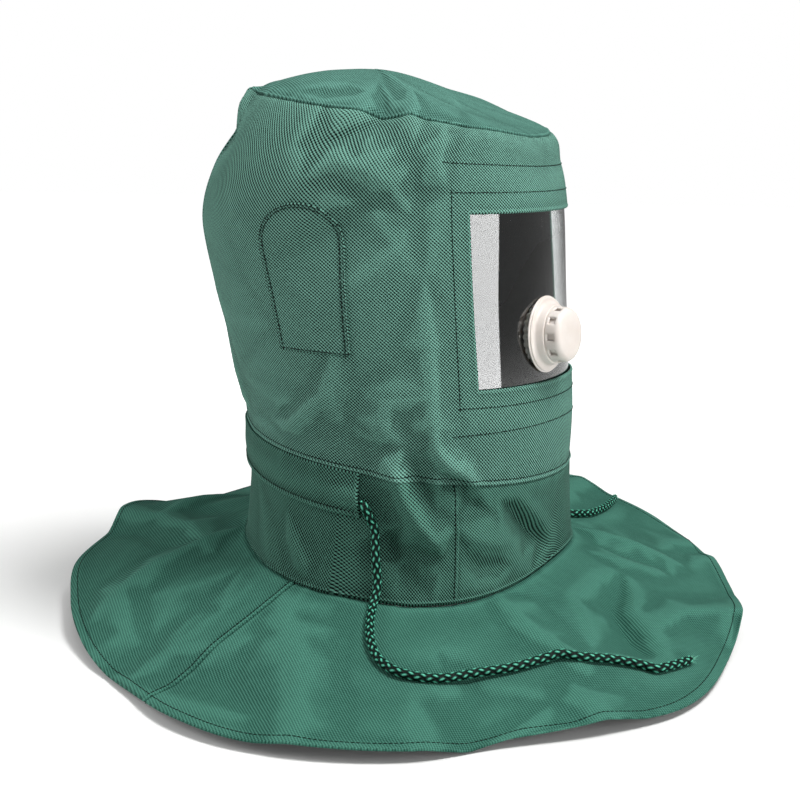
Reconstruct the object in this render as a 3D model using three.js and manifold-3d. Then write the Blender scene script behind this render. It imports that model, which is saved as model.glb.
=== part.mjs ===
import * as THREE from 'three';
import Module from 'manifold-3d';

// Sandblasting hood of green canvas, in the form that it has when worn. Millimetres, +Z up.
// The face looks toward -Y and the wearer's right side is -X.
// The origin is the inside of the crown, where the top of a head carries the hood.

// Sizes of the cloth form
const hoodHeight = 388; // lowest hem to the top of the crown
const headReach = 118; // from the axis to the wall round the head
const neckReach = 114; // from the axis to the wall round the neck
const skirtReach = 270; // from the axis to the hem of the skirt
const clothThickness = 1.6;
const seamGap = 0.3; // between two pieces that meet edge to edge
const layerGap = 0.8; // between two layers that lie on each other
const foldRise = 10; // the unit of height in the fold table
const foldWidth = 20; // the unit of width in the fold table
const foldCrest = 2.4; // how round a fold's crest is
const foldSlope = 0.6; // how far a fold's sides reach, as a share of its width
const foldTaper = 0.7; // how late a fold runs out toward its ends
const skirtSag = 0.88; // 1 for a straight skirt, less for one that falls steeply at the neck

// Where the panels are cut, in degrees from the front
const backSeamAngle = 151;
const neckSeamAngle = 49.5;
const skirtSeamAngle = 104;

// The window and its clear sheet
const windowWidth = 172; // along the curve
const windowHeight = 115;
const windowSill = 178; // above the lowest hem
const lensThickness = 1.2;
const lensMargin = 11; // how far the sheet reaches behind the cloth

// The exhaust valve on the clear sheet
const valveAngle = 9; // degrees toward the wearer's right
const valveHeight = 210; // above the lowest hem
const valveFlangeDiameter = 52;
const valveFlangeThickness = 2.4;
const valveTubeDiameter = 34;
const valveTubeWall = 2;
const valveStepDiameter = 42;
const valveStepHeight = 6;
const valveCapDiameter = 38;
const valveCapHeight = 11;
const valveCapWall = 2;
const valveSlots = 10;
const valveSlotWidth = 6;
const clampRingDiameter = 42;
const clampRingThickness = 3;
const valveClearance = 0.3;

// The arched patch over each ear
const patchAngle = 93; // its middle, in degrees from the front
const patchWidth = 62;
const patchHeight = 104;
const patchArch = 34; // height of the round top
const patchFoot = 203; // its lower edge above the lowest hem
const patchTaper = 0.88; // width at the foot as a share of patchWidth
const patchThickness = 1.2;

// The tunnel that carries the drawcord round the back of the neck
const tunnelMouthAngle = 83;
const tunnelDepth = 32; // from the seam above the neck band down to its lower edge
const cordDiameter = 5.6;
const tunnelBulge = cordDiameter + 1;

// Sections of the head and neck, from the seam above the skirt to the top of the crown.
// Heights and lean are shares of hoodHeight, and reaches are shares of neckReach or headReach.
const sectionColumns = [
  'ring', 'zFront', 'zSide', 'zBack', 'front', 'back', 'half', 'squareFront', 'squareBack', 'lean',
];
const sections = [
  ['neck', 0.12, 0.117, 0.172, 1.0, 0.99, 1.07, 3.0, 2.0, 0.01], // seam above the skirt
  ['neck', 0.2, 0.215, 0.272, 1.03, 0.965, 1.02, 2.4, 2.0, 0.005], // middle of the neck band
  ['neck', 0.288, 0.324, 0.378, 1.06, 0.98, 1.01, 2.1, 2.1, 0], // seam above the neck band
  ['head', 0.365, 0.39, 0.428, 1.03, 0.975, 0.99, 2.1, 2.1, 0], // jaw
  ['head', 0.454, 0.46, 0.485, 1.02, 1.025, 1.0, 2.1, 2.1, 0], // foot of the window
  ['head', 0.606, 0.608, 0.608, 0.995, 1.13, 1.015, 2.1, 2.1, 0], // middle of the window
  ['head', 0.755, 0.752, 0.737, 0.975, 1.23, 1.0, 2.1, 2.1, 0], // head of the window
  ['head', 0.83, 0.848, 0.85, 0.925, 1.09, 0.94, 2.2, 2.2, 0], // brow
  ['head', 0.884, 0.928, 0.962, 0.855, 0.87, 0.76, 2.4, 2.3, 0], // seam round the roof
  ['head', 0.93, 0.977, 0.99, 0.47, 0.66, 0.44, 2.2, 2.2, 0], // middle of the roof
  ['head', 1, 1, 1, -0.2, 0.2, 0, 2, 2, 0], // top of the crown
].map((row) => Object.fromEntries(row.map((value, at) => [sectionColumns[at], value])));
const hemLevel = -1;
const skirtSeamLevel = 0;
const neckSeamLevel = 2;
const roofSeamLevel = 8;
const crownLevel = sections.length - 1;

// The hem of the skirt: reach as a share of skirtReach, rise as a share of hoodHeight.
const hemEdge = [
  { angle: -180, reach: 0.985, rise: 0.057 },
  { angle: -170, reach: 1.015, rise: 0.085 },
  { angle: -155, reach: 0.993, rise: 0.08 },
  { angle: -140, reach: 1.007, rise: 0.098 },
  { angle: -115, reach: 1.02, rise: 0.082 },
  { angle: -90, reach: 1.035, rise: 0.098 },
  { angle: -72, reach: 1.0, rise: 0.08 },
  { angle: -55, reach: 0.955, rise: 0.052 },
  { angle: -40, reach: 0.93, rise: 0.041 },
  { angle: -28, reach: 0.91, rise: 0.022 },
  { angle: -10, reach: 0.905, rise: 0.015 },
  { angle: 5, reach: 0.92, rise: 0.004 },
  { angle: 25, reach: 0.985, rise: 0 },
  { angle: 38, reach: 0.977, rise: 0.004 },
  { angle: 52, reach: 0.965, rise: 0 },
  { angle: 65, reach: 1.015, rise: 0.002 },
  { angle: 85, reach: 1.015, rise: 0.001 },
  { angle: 97, reach: 0.978, rise: 0.005 },
  { angle: 110, reach: 0.915, rise: 0.001 },
  { angle: 125, reach: 0.893, rise: 0.005 },
  { angle: 140, reach: 0.893, rise: 0.023 },
  { angle: 152, reach: 0.91, rise: 0.026 },
  { angle: 165, reach: 0.955, rise: 0.042 },
];

// Folds and dents, each along a line from one place to another on the cloth.
// A place is its angle and its level in the section table, with hemLevel at the hem.
// Rise is a share of foldRise, below zero for a dent, and width is a share of foldWidth.
const folds = [
  // the crown and the seam at its edge
  { from: [78, 8.1], to: [84, 7.6], rise: -0.75, width: 1.1 },
  { from: [63, 8.1], to: [66, 8.8], rise: 0.35, width: 0.9 },
  { from: [80, 8.0], to: [104, 7.1], rise: 0.5, width: 0.6 },
  { from: [112, 8.3], to: [88, 8.5], rise: -0.45, width: 0.7 },
  { from: [150, 8.0], to: [144, 7.7], rise: 0.6, width: 0.6 },
  { from: [158, 7.45], to: [140, 7.3], rise: -0.6, width: 0.8 },
  { from: [-78, 8.0], to: [-95, 7.3], rise: -0.5, width: 1.0 },
  { from: [-62, 8.1], to: [-64, 8.7], rise: 0.35, width: 0.9 },
  // the sides of the head
  { from: [88, 7.1], to: [67, 6.5], rise: 0.45, width: 0.55 },
  { from: [66, 6.45], to: [82, 5.9], rise: -0.4, width: 0.7 },
  { from: [64, 6.7], to: [59, 5.6], rise: 0.45, width: 0.6 },
  { from: [58, 6.2], to: [60, 4.8], rise: -0.4, width: 1.0 },
  { from: [70, 5.6], to: [82, 3.2], rise: 0.4, width: 1.1 },
  { from: [95, 4.2], to: [112, 3.0], rise: 0.3, width: 0.9 },
  { from: [130, 5.8], to: [142, 4.6], rise: -0.3, width: 1.2 },
  { from: [-62, 6.7], to: [-71, 5.2], rise: 0.4, width: 0.8 },
  { from: [-58, 5.9], to: [-62, 4.4], rise: -0.35, width: 1.0 },
  { from: [-104, 4.4], to: [-88, 3.0], rise: 0.35, width: 1.0 },
  { from: [180, 5.4], to: [180, 3.0], rise: -0.3, width: 1.2 },
  // the front below the window
  { from: [54, 3.7], to: [66, 2.3], rise: -0.3, width: 0.7 },
  { from: [8, 3.2], to: [14, 2.2], rise: 0.25, width: 0.9 },
  { from: [-46, 3.6], to: [-60, 2.3], rise: -0.3, width: 0.8 },
  // the neck band
  { from: [69, 1.95], to: [59, 1.0], rise: 0.6, width: 0.45 },
  { from: [59, 1.0], to: [49, 0.3], rise: 0.5, width: 0.45 },
  { from: [76, 1.2], to: [72, 0.7], rise: -0.8, width: 0.7 },
  { from: [46, 1.3], to: [34, 0.9], rise: -0.5, width: 0.6 },
  { from: [31, 1.5], to: [-3, 0.4], rise: -0.6, width: 0.6 },
  { from: [57, 1.9], to: [47, 1.3], rise: 0.4, width: 0.4 },
  { from: [108, 1.0], to: [100, 0.3], rise: 0.35, width: 0.7 },
  { from: [-70, 1.8], to: [-56, 0.6], rise: 0.5, width: 0.5 },
  { from: [-40, 1.4], to: [-20, 0.5], rise: -0.5, width: 0.6 },
  { from: [165, 1.2], to: [178, 0.3], rise: -0.35, width: 0.7 },
  // the skirt
  { from: [104, -0.1], to: [82, -0.95], rise: 0.5, width: 0.6 },
  { from: [30, -0.15], to: [33, -0.7], rise: 0.55, width: 0.8 },
  { from: [-2, -0.3], to: [11, -0.75], rise: -0.8, width: 0.9 },
  { from: [2, -0.55], to: [-6, -1.0], rise: 0.6, width: 0.8 },
  { from: [-55, -0.15], to: [-27, -0.5], rise: 0.6, width: 0.8 },
  { from: [-178, -1.0], to: [166, -0.3], rise: 0.8, width: 0.7 },
  { from: [-172, -0.7], to: [-178, -0.25], rise: -0.5, width: 0.8 },
  { from: [-160, -1.0], to: [-172, -0.3], rise: 0.7, width: 0.7 },
  { from: [-128, -1.0], to: [-120, -0.2], rise: -0.8, width: 1.3 },
  { from: [-92, -1.0], to: [-88, -0.2], rise: 0.5, width: 1.2 },
  { from: [128, -1.0], to: [122, -0.25], rise: -0.35, width: 1.4 },
  { from: [52, -1.0], to: [56, -0.3], rise: -0.35, width: 1.2 },
];

// The free ends of the drawcord, from the mouth of the tunnel to the cut end
const cordRight = [
  [-118, -23.5, -281],
  [-118.5, -26.5, -284],
  [-116.5, -29, -291],
  [-114.5, -31.5, -298.5],
  [-118.5, -34.5, -318.5],
  [-121.5, -37, -335.5],
  [-128, -37.5, -345],
  [-140.5, -41.5, -349.5],
  [-164, -53, -356.5],
  [-179.5, -66.5, -362],
  [-187, -84, -365],
  [-179, -105.5, -368],
  [-161.5, -124, -367.5],
  [-145.5, -143, -366],
  [-130, -156.5, -363.5],
  [-122, -164, -362],
  [-116.5, -176, -364],
  [-102, -191, -368],
  [-92, -208.5, -372.5],
  [-89.5, -216.5, -374.5],
  [-80, -222, -375.5],
  [-56, -231, -377.5],
];
const cordLeft = [
  [118.5, -24, -279],
  [119.5, -26.5, -282],
  [117.5, -29, -290],
  [118, -31, -302.5],
  [120.5, -33.5, -319],
  [122.5, -36.5, -331.5],
  [127, -48, -336.5],
  [130.5, -70, -339],
  [136.5, -83.5, -342],
  [149, -88.5, -344.5],
  [157, -91.5, -346],
  [190, -94, -349],
  [224.5, -91.5, -351],
  [241, -89, -352],
];

const radians = THREE.MathUtils.degToRad;
const crownInside = hoodHeight - clothThickness;
const windowAngle = THREE.MathUtils.radToDeg(windowWidth / 2 / headReach);
const columnStep = 8; // degrees between two columns of a wall's corners

// A cubic through evenly spaced values
function cubic(a, b, c, d, t) {
  const bend = 2 * a - 5 * b + 4 * c - d;
  return 0.5 * (2 * b + (c - a) * t + bend * t * t + (3 * b - a - 3 * c + d) * t * t * t);
}

// Past the crown the sections come down again on the other side, so the top is round.
function sectionAt(index) {
  if (index <= crownLevel) return sections[Math.max(index, 0)];
  const below = sections[2 * crownLevel - index];
  const top = sections[crownLevel];
  const middle = (top.back - top.front) - (below.back - below.front) / 2;
  const deep = (below.front + below.back) / 2;
  return { ...below, front: -deep - middle, back: -deep + middle, half: -below.half };
}

function sectionColumn(level, column) {
  const index = Math.min(Math.floor(level), crownLevel - 1);
  const share = (row) => {
    if (['front', 'back', 'half'].includes(column)) {
      return row[column] * (row.ring === 'neck' ? neckReach : headReach);
    }
    return row[column] * (column.startsWith('square') ? 1 : hoodHeight);
  };
  const around = [-1, 0, 1, 2].map((step) => share(sectionAt(index + step)));
  return cubic(...around, level - index);
}

function headPlace(angle, level) {
  const front = sectionColumn(level, 'front');
  const back = sectionColumn(level, 'back');
  const half = Math.max(sectionColumn(level, 'half'), 0);
  const deep = Math.max((front + back) / 2, 0);
  const cos = Math.cos(radians(angle));
  const sin = Math.sin(radians(angle));
  const power = 2 / sectionColumn(level, cos > 0 ? 'squareFront' : 'squareBack');
  const zFront = sectionColumn(level, 'zFront');
  const zSide = sectionColumn(level, 'zSide');
  const zBack = sectionColumn(level, 'zBack');
  const tilt = ((zFront - zBack) / 2) * cos + ((zFront + zBack) / 2 - zSide) * cos * cos;
  return new THREE.Vector3(
    -half * Math.sign(sin) * Math.abs(sin) ** power,
    (back - front) / 2 - deep * Math.sign(cos) * Math.abs(cos) ** power,
    zSide + tilt - sectionColumn(level, 'lean') * sin,
  );
}

function hemPlace(angle) {
  const turned = THREE.MathUtils.euclideanModulo(angle + 180, 360) - 180;
  const count = hemEdge.length;
  let index = 0;
  while (index < count - 1 && hemEdge[index + 1].angle <= turned) index += 1;
  const row = (step) => {
    const at = index + step;
    const entry = hemEdge[THREE.MathUtils.euclideanModulo(at, count)];
    return { ...entry, angle: entry.angle + 360 * Math.floor(at / count) };
  };
  const [before, start, end, after] = [-1, 0, 1, 2].map(row);
  const span = end.angle - start.angle;
  const t = (turned - start.angle) / span;
  const through = (column) => {
    const slopeStart = ((end[column] - before[column]) / (end.angle - before.angle)) * span;
    const slopeEnd = ((after[column] - start[column]) / (after.angle - start.angle)) * span;
    const rest = 3 * t * t - 2 * t * t * t;
    const curve = slopeStart * (t - 2 * t * t + t * t * t) + slopeEnd * (t * t * t - t * t);
    return start[column] * (1 - rest) + end[column] * rest + curve;
  };
  const reach = through('reach') * skirtReach;
  return new THREE.Vector3(
    -reach * Math.sin(radians(angle)),
    -reach * Math.cos(radians(angle)),
    through('rise') * hoodHeight,
  );
}

// The smooth form, without folds
function plainPlace(angle, level) {
  if (level >= skirtSeamLevel) return headPlace(angle, Math.min(level, crownLevel));
  const out = (skirtSeamLevel - level) / (skirtSeamLevel - hemLevel);
  const seam = headPlace(angle, skirtSeamLevel);
  const hem = hemPlace(angle);
  const place = seam.clone().lerp(hem, out);
  place.z = seam.z + (hem.z - seam.z) * out ** skirtSag;
  return place;
}

function plainNormal(angle, level) {
  if (level > crownLevel - 0.05) return new THREE.Vector3(0, 0, 1);
  const high = Math.min(level + 0.04, crownLevel);
  const low = high - 0.08;
  const round = plainPlace(angle + 0.8, level).sub(plainPlace(angle - 0.8, level));
  const up = plainPlace(angle, high).sub(plainPlace(angle, low));
  return up.cross(round).normalize();
}

// Each fold's line on the smooth form, as short straight steps
const foldLines = folds.map((fold) => {
  const line = spread(0, 1, 5).map((share) => {
    const level = THREE.MathUtils.lerp(fold.from[1], fold.to[1], share);
    return plainPlace(shortWay(fold.from[0], fold.to[0], share), level);
  });
  return { ...fold, line };
});

// A fold that crosses the middle of the back takes the short way round.
function shortWay(start, end, share) {
  const turn = THREE.MathUtils.euclideanModulo(end - start + 180, 360) - 180;
  return start + turn * share;
}

// The doubled cloth round the window stays smooth, and folds grow from its edge outward.
function frameSlack(place, angle) {
  const turned = THREE.MathUtils.euclideanModulo(angle + 180, 360) - 180;
  const across = Math.max(Math.abs(turned) - windowAngle, 0) * radians(1) * headReach;
  const up = Math.max(windowSill - place.z, place.z - windowSill - windowHeight, 0);
  return THREE.MathUtils.smoothstep(Math.hypot(across, up), lensMargin, 3 * lensMargin);
}

// A fold is highest at the middle of its line and runs out at both ends.
function foldAt(place, angle) {
  const segment = new THREE.Line3();
  const nearest = new THREE.Vector3();
  let rise = 0;
  for (const { line, ...fold } of foldLines) {
    let away = Infinity;
    let along = 0;
    for (let step = 1; step < line.length; step += 1) {
      segment.set(line[step - 1], line[step]);
      const share = segment.closestPointToPointParameter(place, true);
      const distance = segment.at(share, nearest).distanceTo(place);
      if (distance < away) {
        away = distance;
        along = (step - 1 + share) / (line.length - 1);
      }
    }
    const slope = (Math.hypot(away, foldCrest) - foldCrest) / (fold.width * foldWidth * foldSlope);
    const taper = Math.sin(Math.PI * THREE.MathUtils.clamp(along, 0.03, 0.97)) ** foldTaper;
    rise += fold.rise * foldRise * taper * Math.exp(-slope);
  }
  return rise * frameSlack(place, angle);
}

// A place on the cloth's outer face, or that far off it along the normal
function clothPlace(angle, level, off = 0) {
  const place = plainPlace(angle, level);
  const normal = plainNormal(angle, level);
  place.addScaledVector(normal, foldAt(place, angle) + off);
  place.z -= crownInside;
  return place;
}

// How far one degree and one level reach along the cloth
function degreeLength(angle, level) {
  return plainPlace(angle + 0.5, level).distanceTo(plainPlace(angle - 0.5, level));
}

function levelLength(angle, level) {
  const low = Math.max(level - 0.05, hemLevel);
  return plainPlace(angle, low + 0.1).distanceTo(plainPlace(angle, low)) / 0.1;
}

// The level whose section lies at a height above the lowest hem, at that angle
function levelAt(height, angle) {
  let low = skirtSeamLevel;
  let high = roofSeamLevel;
  for (let step = 0; step < 30; step += 1) {
    const middle = (low + high) / 2;
    if (plainPlace(angle, middle).z < height) low = middle;
    else high = middle;
  }
  return (low + high) / 2;
}

function spread(from, to, steps) {
  return Array.from({ length: steps + 1 }, (_, step) => from + ((to - from) * step) / steps);
}

// Merges the corners that meet, drops the flat triangles and turns the faces outward.
function closedGeometry(points, triangles) {
  const places = new Map();
  const positions = [];
  const merged = points.map((point) => {
    const key = [point.x, point.y, point.z].map((value) => Math.round(value * 2000)).join();
    if (!places.has(key)) {
      places.set(key, positions.length / 3);
      positions.push(point.x, point.y, point.z);
    }
    return places.get(key);
  });
  const index = [];
  let volume = 0;
  for (const triangle of triangles) {
    const [a, b, c] = triangle.map((corner) => merged[corner]);
    if (a === b || b === c || c === a) continue;
    index.push([a, b, c]);
    const [p, q, r] = [a, b, c].map((at) => new THREE.Vector3().fromArray(positions, at * 3));
    volume += p.dot(q.cross(r));
  }
  const outward = volume < 0 ? index.map(([a, b, c]) => [a, c, b]) : index;
  const geometry = new THREE.BufferGeometry();
  geometry.setAttribute('position', new THREE.Float32BufferAttribute(positions, 3));
  geometry.setIndex(outward.flat());
  geometry.computeVertexNormals();
  return geometry;
}

// The same for a ready shape of flat lists, three numbers to a point and to a triangle
function closedFrom(positions, index) {
  const threes = (list) => {
    return Array.from({ length: list.length / 3 }, (_, at) => [...list.slice(3 * at, 3 * at + 3)]);
  };
  return closedGeometry(threes(positions).map((point) => new THREE.Vector3(...point)), threes(index));
}

function closedShape(geometry) {
  return closedFrom(geometry.getAttribute('position').array, geometry.getIndex().array);
}

// A wall of cloth over a grid: place gives the angle and level of a grid point,
// off gives the outer and inner face's distance from the form, and keep leaves cells out.
function clothWall({ columns, rows, place, off, keep = () => true }) {
  const points = [];
  for (const row of rows) {
    for (const column of columns) {
      const [angle, level] = place(column, row);
      const [outer, inner] = off(column, row);
      points.push(clothPlace(angle, level, outer), clothPlace(angle, level, inner));
    }
  }
  const corner = (i, j, side) => 2 * (j * columns.length + i) + side;
  const round = Math.abs(columns.at(-1) - columns[0] - 360) < 1e-9;
  const cells = columns.length - 1;
  const kept = (i, j) => {
    const at = round ? THREE.MathUtils.euclideanModulo(i, cells) : i;
    if (at < 0 || at >= cells || j < 0 || j >= rows.length - 1) return false;
    return keep((columns[at] + columns[at + 1]) / 2, (rows[j] + rows[j + 1]) / 2);
  };
  const triangles = [];
  const quad = (...corners) => {
    const [a, b, c, d] = corners.map((at) => corner(...at));
    triangles.push([a, b, c], [a, c, d]);
  };
  for (let j = 0; j < rows.length - 1; j += 1) {
    for (let i = 0; i < cells; i += 1) {
      if (!kept(i, j)) continue;
      const [right, up] = [i + 1, j + 1];
      quad([i, j, 0], [right, j, 0], [right, up, 0], [i, up, 0]);
      quad([i, j, 1], [i, up, 1], [right, up, 1], [right, j, 1]);
      if (!kept(i, j - 1)) quad([i, j, 1], [right, j, 1], [right, j, 0], [i, j, 0]);
      if (!kept(i, up) && !isCrown(rows[up])) quad([i, up, 0], [right, up, 0], [right, up, 1], [i, up, 1]);
      if (!kept(i - 1, j)) quad([i, j, 0], [i, up, 0], [i, up, 1], [i, j, 1]);
      if (!kept(right, j)) quad([right, j, 1], [right, up, 1], [right, up, 0], [right, j, 0]);
    }
  }
  return closedGeometry(points, triangles);
}

function isCrown(level) {
  return level >= crownLevel;
}

const wall = () => [0, -clothThickness];

// Half a seam's gap, in degrees or levels
const gapDegrees = (angle, level) => seamGap / 2 / degreeLength(angle, level);
const gapLevels = (angle, level) => seamGap / 2 / levelLength(angle, level);

// The grid of a panel between two seams, with its edges drawn in by half a gap
function seamedPlace(left, right, low, high) {
  return (angle, level) => {
    const side = gapDegrees(angle, level);
    const end = gapLevels(angle, level);
    return [
      THREE.MathUtils.clamp(angle, left + side, right - side),
      THREE.MathUtils.clamp(level, low + end, high - end),
    ];
  };
}

const sillLevel = levelAt(windowSill, windowAngle);
const lintelLevel = levelAt(windowSill + windowHeight, windowAngle);
const tunnelLevel = neckSeamLevel - tunnelDepth / levelLength(tunnelMouthAngle, neckSeamLevel - 0.5);

// All pieces share their columns and rows, so that pieces that meet have the same corners.
const halfCuts = [windowAngle, neckSeamAngle, tunnelMouthAngle, skirtSeamAngle, backSeamAngle];
const roundCuts = [...halfCuts, ...halfCuts.map((angle) => 360 - angle)].sort((a, b) => a - b);
const allCuts = [...roundCuts, 360 + roundCuts[0]];

function columnsBetween(left, right) {
  const found = [left];
  for (let turn = -1; turn <= 1; turn += 1) {
    for (let at = 1; at < allCuts.length; at += 1) {
      const [start, end] = [allCuts[at - 1] + 360 * turn, allCuts[at] + 360 * turn];
      const steps = Math.max(1, Math.round((end - start) / columnStep));
      const inside = spread(start, end, steps).filter((angle) => angle > found.at(-1) + 0.01);
      found.push(...inside.filter((angle) => angle < right - 0.01));
    }
  }
  return [...found, right];
}

const headRows = [
  ...spread(neckSeamLevel, sillLevel, 5),
  ...spread(sillLevel, lintelLevel, 6).slice(1),
  ...spread(lintelLevel, roofSeamLevel, 5).slice(1),
];
const tunnelRows = spread(tunnelLevel, neckSeamLevel, 4);
const neckRows = [...spread(skirtSeamLevel, tunnelLevel, 4), ...tunnelRows.slice(1)];
const skirtRows = spread(hemLevel, skirtSeamLevel, 8);

function facePanel() {
  const inWindow = (angle, level) => {
    return Math.abs(angle) < windowAngle && level > sillLevel && level < lintelLevel;
  };
  return clothWall({
    columns: columnsBetween(-backSeamAngle, backSeamAngle),
    rows: headRows,
    place: seamedPlace(-backSeamAngle, backSeamAngle, neckSeamLevel, roofSeamLevel),
    off: wall,
    keep: (angle, level) => !inWindow(angle, level),
  });
}

// The crown and the strip down the back are one piece.
function crownGusset() {
  const back = 360 - backSeamAngle;
  const columns = [
    ...columnsBetween(-backSeamAngle, backSeamAngle),
    ...columnsBetween(backSeamAngle, back).slice(1),
  ];
  const rows = [...headRows, ...spread(roofSeamLevel, crownLevel, 6).slice(1)];
  const inStrip = (angle) => angle > backSeamAngle;
  return clothWall({
    columns,
    rows,
    place: (angle, level) => {
      const side = gapDegrees(angle, Math.min(level, roofSeamLevel));
      const end = gapLevels(angle, level);
      const low = angle >= backSeamAngle || angle <= -backSeamAngle ? neckSeamLevel : roofSeamLevel;
      const edge = level < roofSeamLevel - 1e-9;
      const turned = edge ? THREE.MathUtils.clamp(angle, backSeamAngle + side, back - side) : angle;
      return [turned, Math.max(level, low + end)];
    },
    off: wall,
    keep: (angle, level) => level > roofSeamLevel || inStrip(angle),
  });
}

function neckFront() {
  return clothWall({
    columns: columnsBetween(-neckSeamAngle, neckSeamAngle),
    rows: neckRows,
    place: seamedPlace(-neckSeamAngle, neckSeamAngle, skirtSeamLevel, neckSeamLevel),
    off: wall,
  });
}

function neckBack() {
  const far = 360 - neckSeamAngle;
  return clothWall({
    columns: columnsBetween(neckSeamAngle, far),
    rows: neckRows,
    place: seamedPlace(neckSeamAngle, far, skirtSeamLevel, neckSeamLevel),
    off: wall,
  });
}

function skirtPanel(left, right) {
  return clothWall({
    columns: columnsBetween(left, right),
    rows: skirtRows,
    place: (angle, level) => {
      const [turned, raised] = seamedPlace(left, right, hemLevel, skirtSeamLevel)(angle, level);
      return [turned, level === hemLevel ? hemLevel : raised];
    },
    off: wall,
  });
}

// A patch whose columns run from its straight foot up to its round top
function earPatch(middle) {
  const footLevel = levelAt(patchFoot, middle);
  const perLevel = levelLength(middle, footLevel);
  const perDegree = degreeLength(middle, footLevel);
  return clothWall({
    columns: spread(-1, 1, 8),
    rows: spread(0, 1, 8),
    place: (across, up) => {
      const straight = patchHeight - patchArch;
      const height = up * (straight + patchArch * Math.sqrt(Math.max(0, 1 - across * across)));
      const width = patchWidth * THREE.MathUtils.lerp(patchTaper, 1, Math.min(height / straight, 1));
      return [middle + (across * width) / 2 / perDegree, footLevel + height / perLevel];
    },
    off: () => [layerGap + patchThickness, layerGap],
  });
}

// The tunnel stands off the neck band in the middle, where the cord runs through it.
function cordTunnel() {
  return clothWall({
    columns: columnsBetween(tunnelMouthAngle, 360 - tunnelMouthAngle),
    rows: tunnelRows,
    place: (angle, level) => [angle, Math.min(level, neckSeamLevel - gapLevels(angle, neckSeamLevel))],
    off: (angle, level) => {
      const up = (level - tunnelLevel) / (neckSeamLevel - tunnelLevel);
      const bulge = layerGap + tunnelBulge * Math.sin(Math.PI * up);
      return [bulge + clothThickness, bulge];
    },
  });
}

const wasm = await Module();
wasm.setup();

function toSolid(geometry) {
  return new wasm.Manifold(new wasm.Mesh({
    numProp: 3,
    vertProperties: new Float32Array(geometry.getAttribute('position').array),
    triVerts: new Uint32Array(geometry.getIndex().array),
  }));
}

function toGeometry(solid) {
  const mesh = solid.getMesh();
  return closedFrom(mesh.vertProperties, mesh.triVerts);
}

// A ring or dome turned about Z from a closed outline of radius and height pairs
function lathed(outline, sides = 24) {
  const loop = [...outline, outline[0]].map((corner) => new THREE.Vector2(...corner));
  return closedShape(new THREE.LatheGeometry(loop, sides).rotateX(Math.PI / 2));
}

// The valve's own frame: its middle on the clear sheet's outer face, +Z along its outward axis
const lensOuter = -clothThickness - layerGap;
const valveLevel = levelAt(valveHeight, valveAngle);
const valveAxis = plainNormal(valveAngle, valveLevel);
const valveSide = new THREE.Vector3(0, 0, 1).cross(valveAxis).normalize();
const valveFrame = new THREE.Matrix4()
  .makeBasis(valveSide, valveAxis.clone().cross(valveSide), valveAxis)
  .setPosition(clothPlace(valveAngle, valveLevel, lensOuter));

function lens() {
  const grownAngle = windowAngle + lensMargin / degreeLength(windowAngle, sillLevel);
  const low = sillLevel - lensMargin / levelLength(0, sillLevel);
  const high = lintelLevel + lensMargin / levelLength(0, lintelLevel);
  const sheet = clothWall({
    columns: columnsBetween(-grownAngle, grownAngle),
    rows: [low, ...headRows.filter((level) => level > low + 0.01 && level < high - 0.01), high],
    place: (angle, level) => [angle, level],
    off: () => [lensOuter, lensOuter - lensThickness],
  });
  const radius = valveTubeDiameter / 2 + valveClearance;
  const hole = new THREE.CylinderGeometry(radius, radius, valveTubeDiameter, 32).rotateX(Math.PI / 2);
  const drill = toSolid(closedShape(hole.applyMatrix4(valveFrame)));
  return toGeometry(toSolid(sheet).subtract(drill));
}

// The sheet falls away from the flat flange by this much at a radius.
const sheetFall = (radius) => headReach - Math.sqrt(headReach ** 2 - radius ** 2);
const clampTop = -lensThickness - valveClearance - sheetFall(clampRingDiameter / 2);
const tubeBottom = clampTop - clampRingThickness;

function valveBody() {
  const flange = valveFlangeDiameter / 2;
  const tube = valveTubeDiameter / 2;
  const step = valveStepDiameter / 2;
  const foot = valveClearance;
  const rim = foot + valveFlangeThickness;
  return lathed([
    [tube - valveTubeWall, tubeBottom],
    [tube, tubeBottom],
    [tube, foot],
    [flange, foot],
    [flange, foot + valveFlangeThickness * 0.4],
    [flange - 1.2, foot + valveFlangeThickness * 0.5],
    [flange - 1.2, rim - 0.4],
    [flange - 1.8, rim],
    [step, rim],
    [step - 1, rim + valveStepHeight],
    [tube - valveTubeWall, rim + valveStepHeight],
  ]);
}

function valveCap() {
  const base = valveClearance * 2 + valveFlangeThickness + valveStepHeight;
  const radius = valveCapDiameter / 2;
  const top = base + valveCapHeight;
  const shell = toSolid(lathed([
    [0, top],
    [0, top - valveCapWall],
    [radius - valveCapWall - 3, top - valveCapWall],
    [radius - valveCapWall, base],
    [radius, base],
    [radius - 1, top - 4],
    [radius - 2.5, top - 1.2],
    [radius - 5, top],
  ]));
  const bite = valveCapWall * 4;
  let cut = null;
  for (let slot = 0; slot < valveSlots; slot += 1) {
    const box = new THREE.BoxGeometry(bite, valveSlotWidth, valveCapHeight * 0.45);
    box.translate(radius - 1, 0, base + valveCapHeight * 0.4);
    box.rotateZ((2 * Math.PI * slot) / valveSlots);
    const solid = toSolid(closedShape(box));
    cut = cut ? cut.add(solid) : solid;
  }
  return toGeometry(shell.subtract(cut));
}

function clampRing() {
  const inner = valveTubeDiameter / 2 + valveClearance;
  const outer = clampRingDiameter / 2;
  return lathed([
    [inner, clampTop - clampRingThickness],
    [outer, clampTop - clampRingThickness],
    [outer, clampTop],
    [inner, clampTop],
  ]);
}

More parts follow.
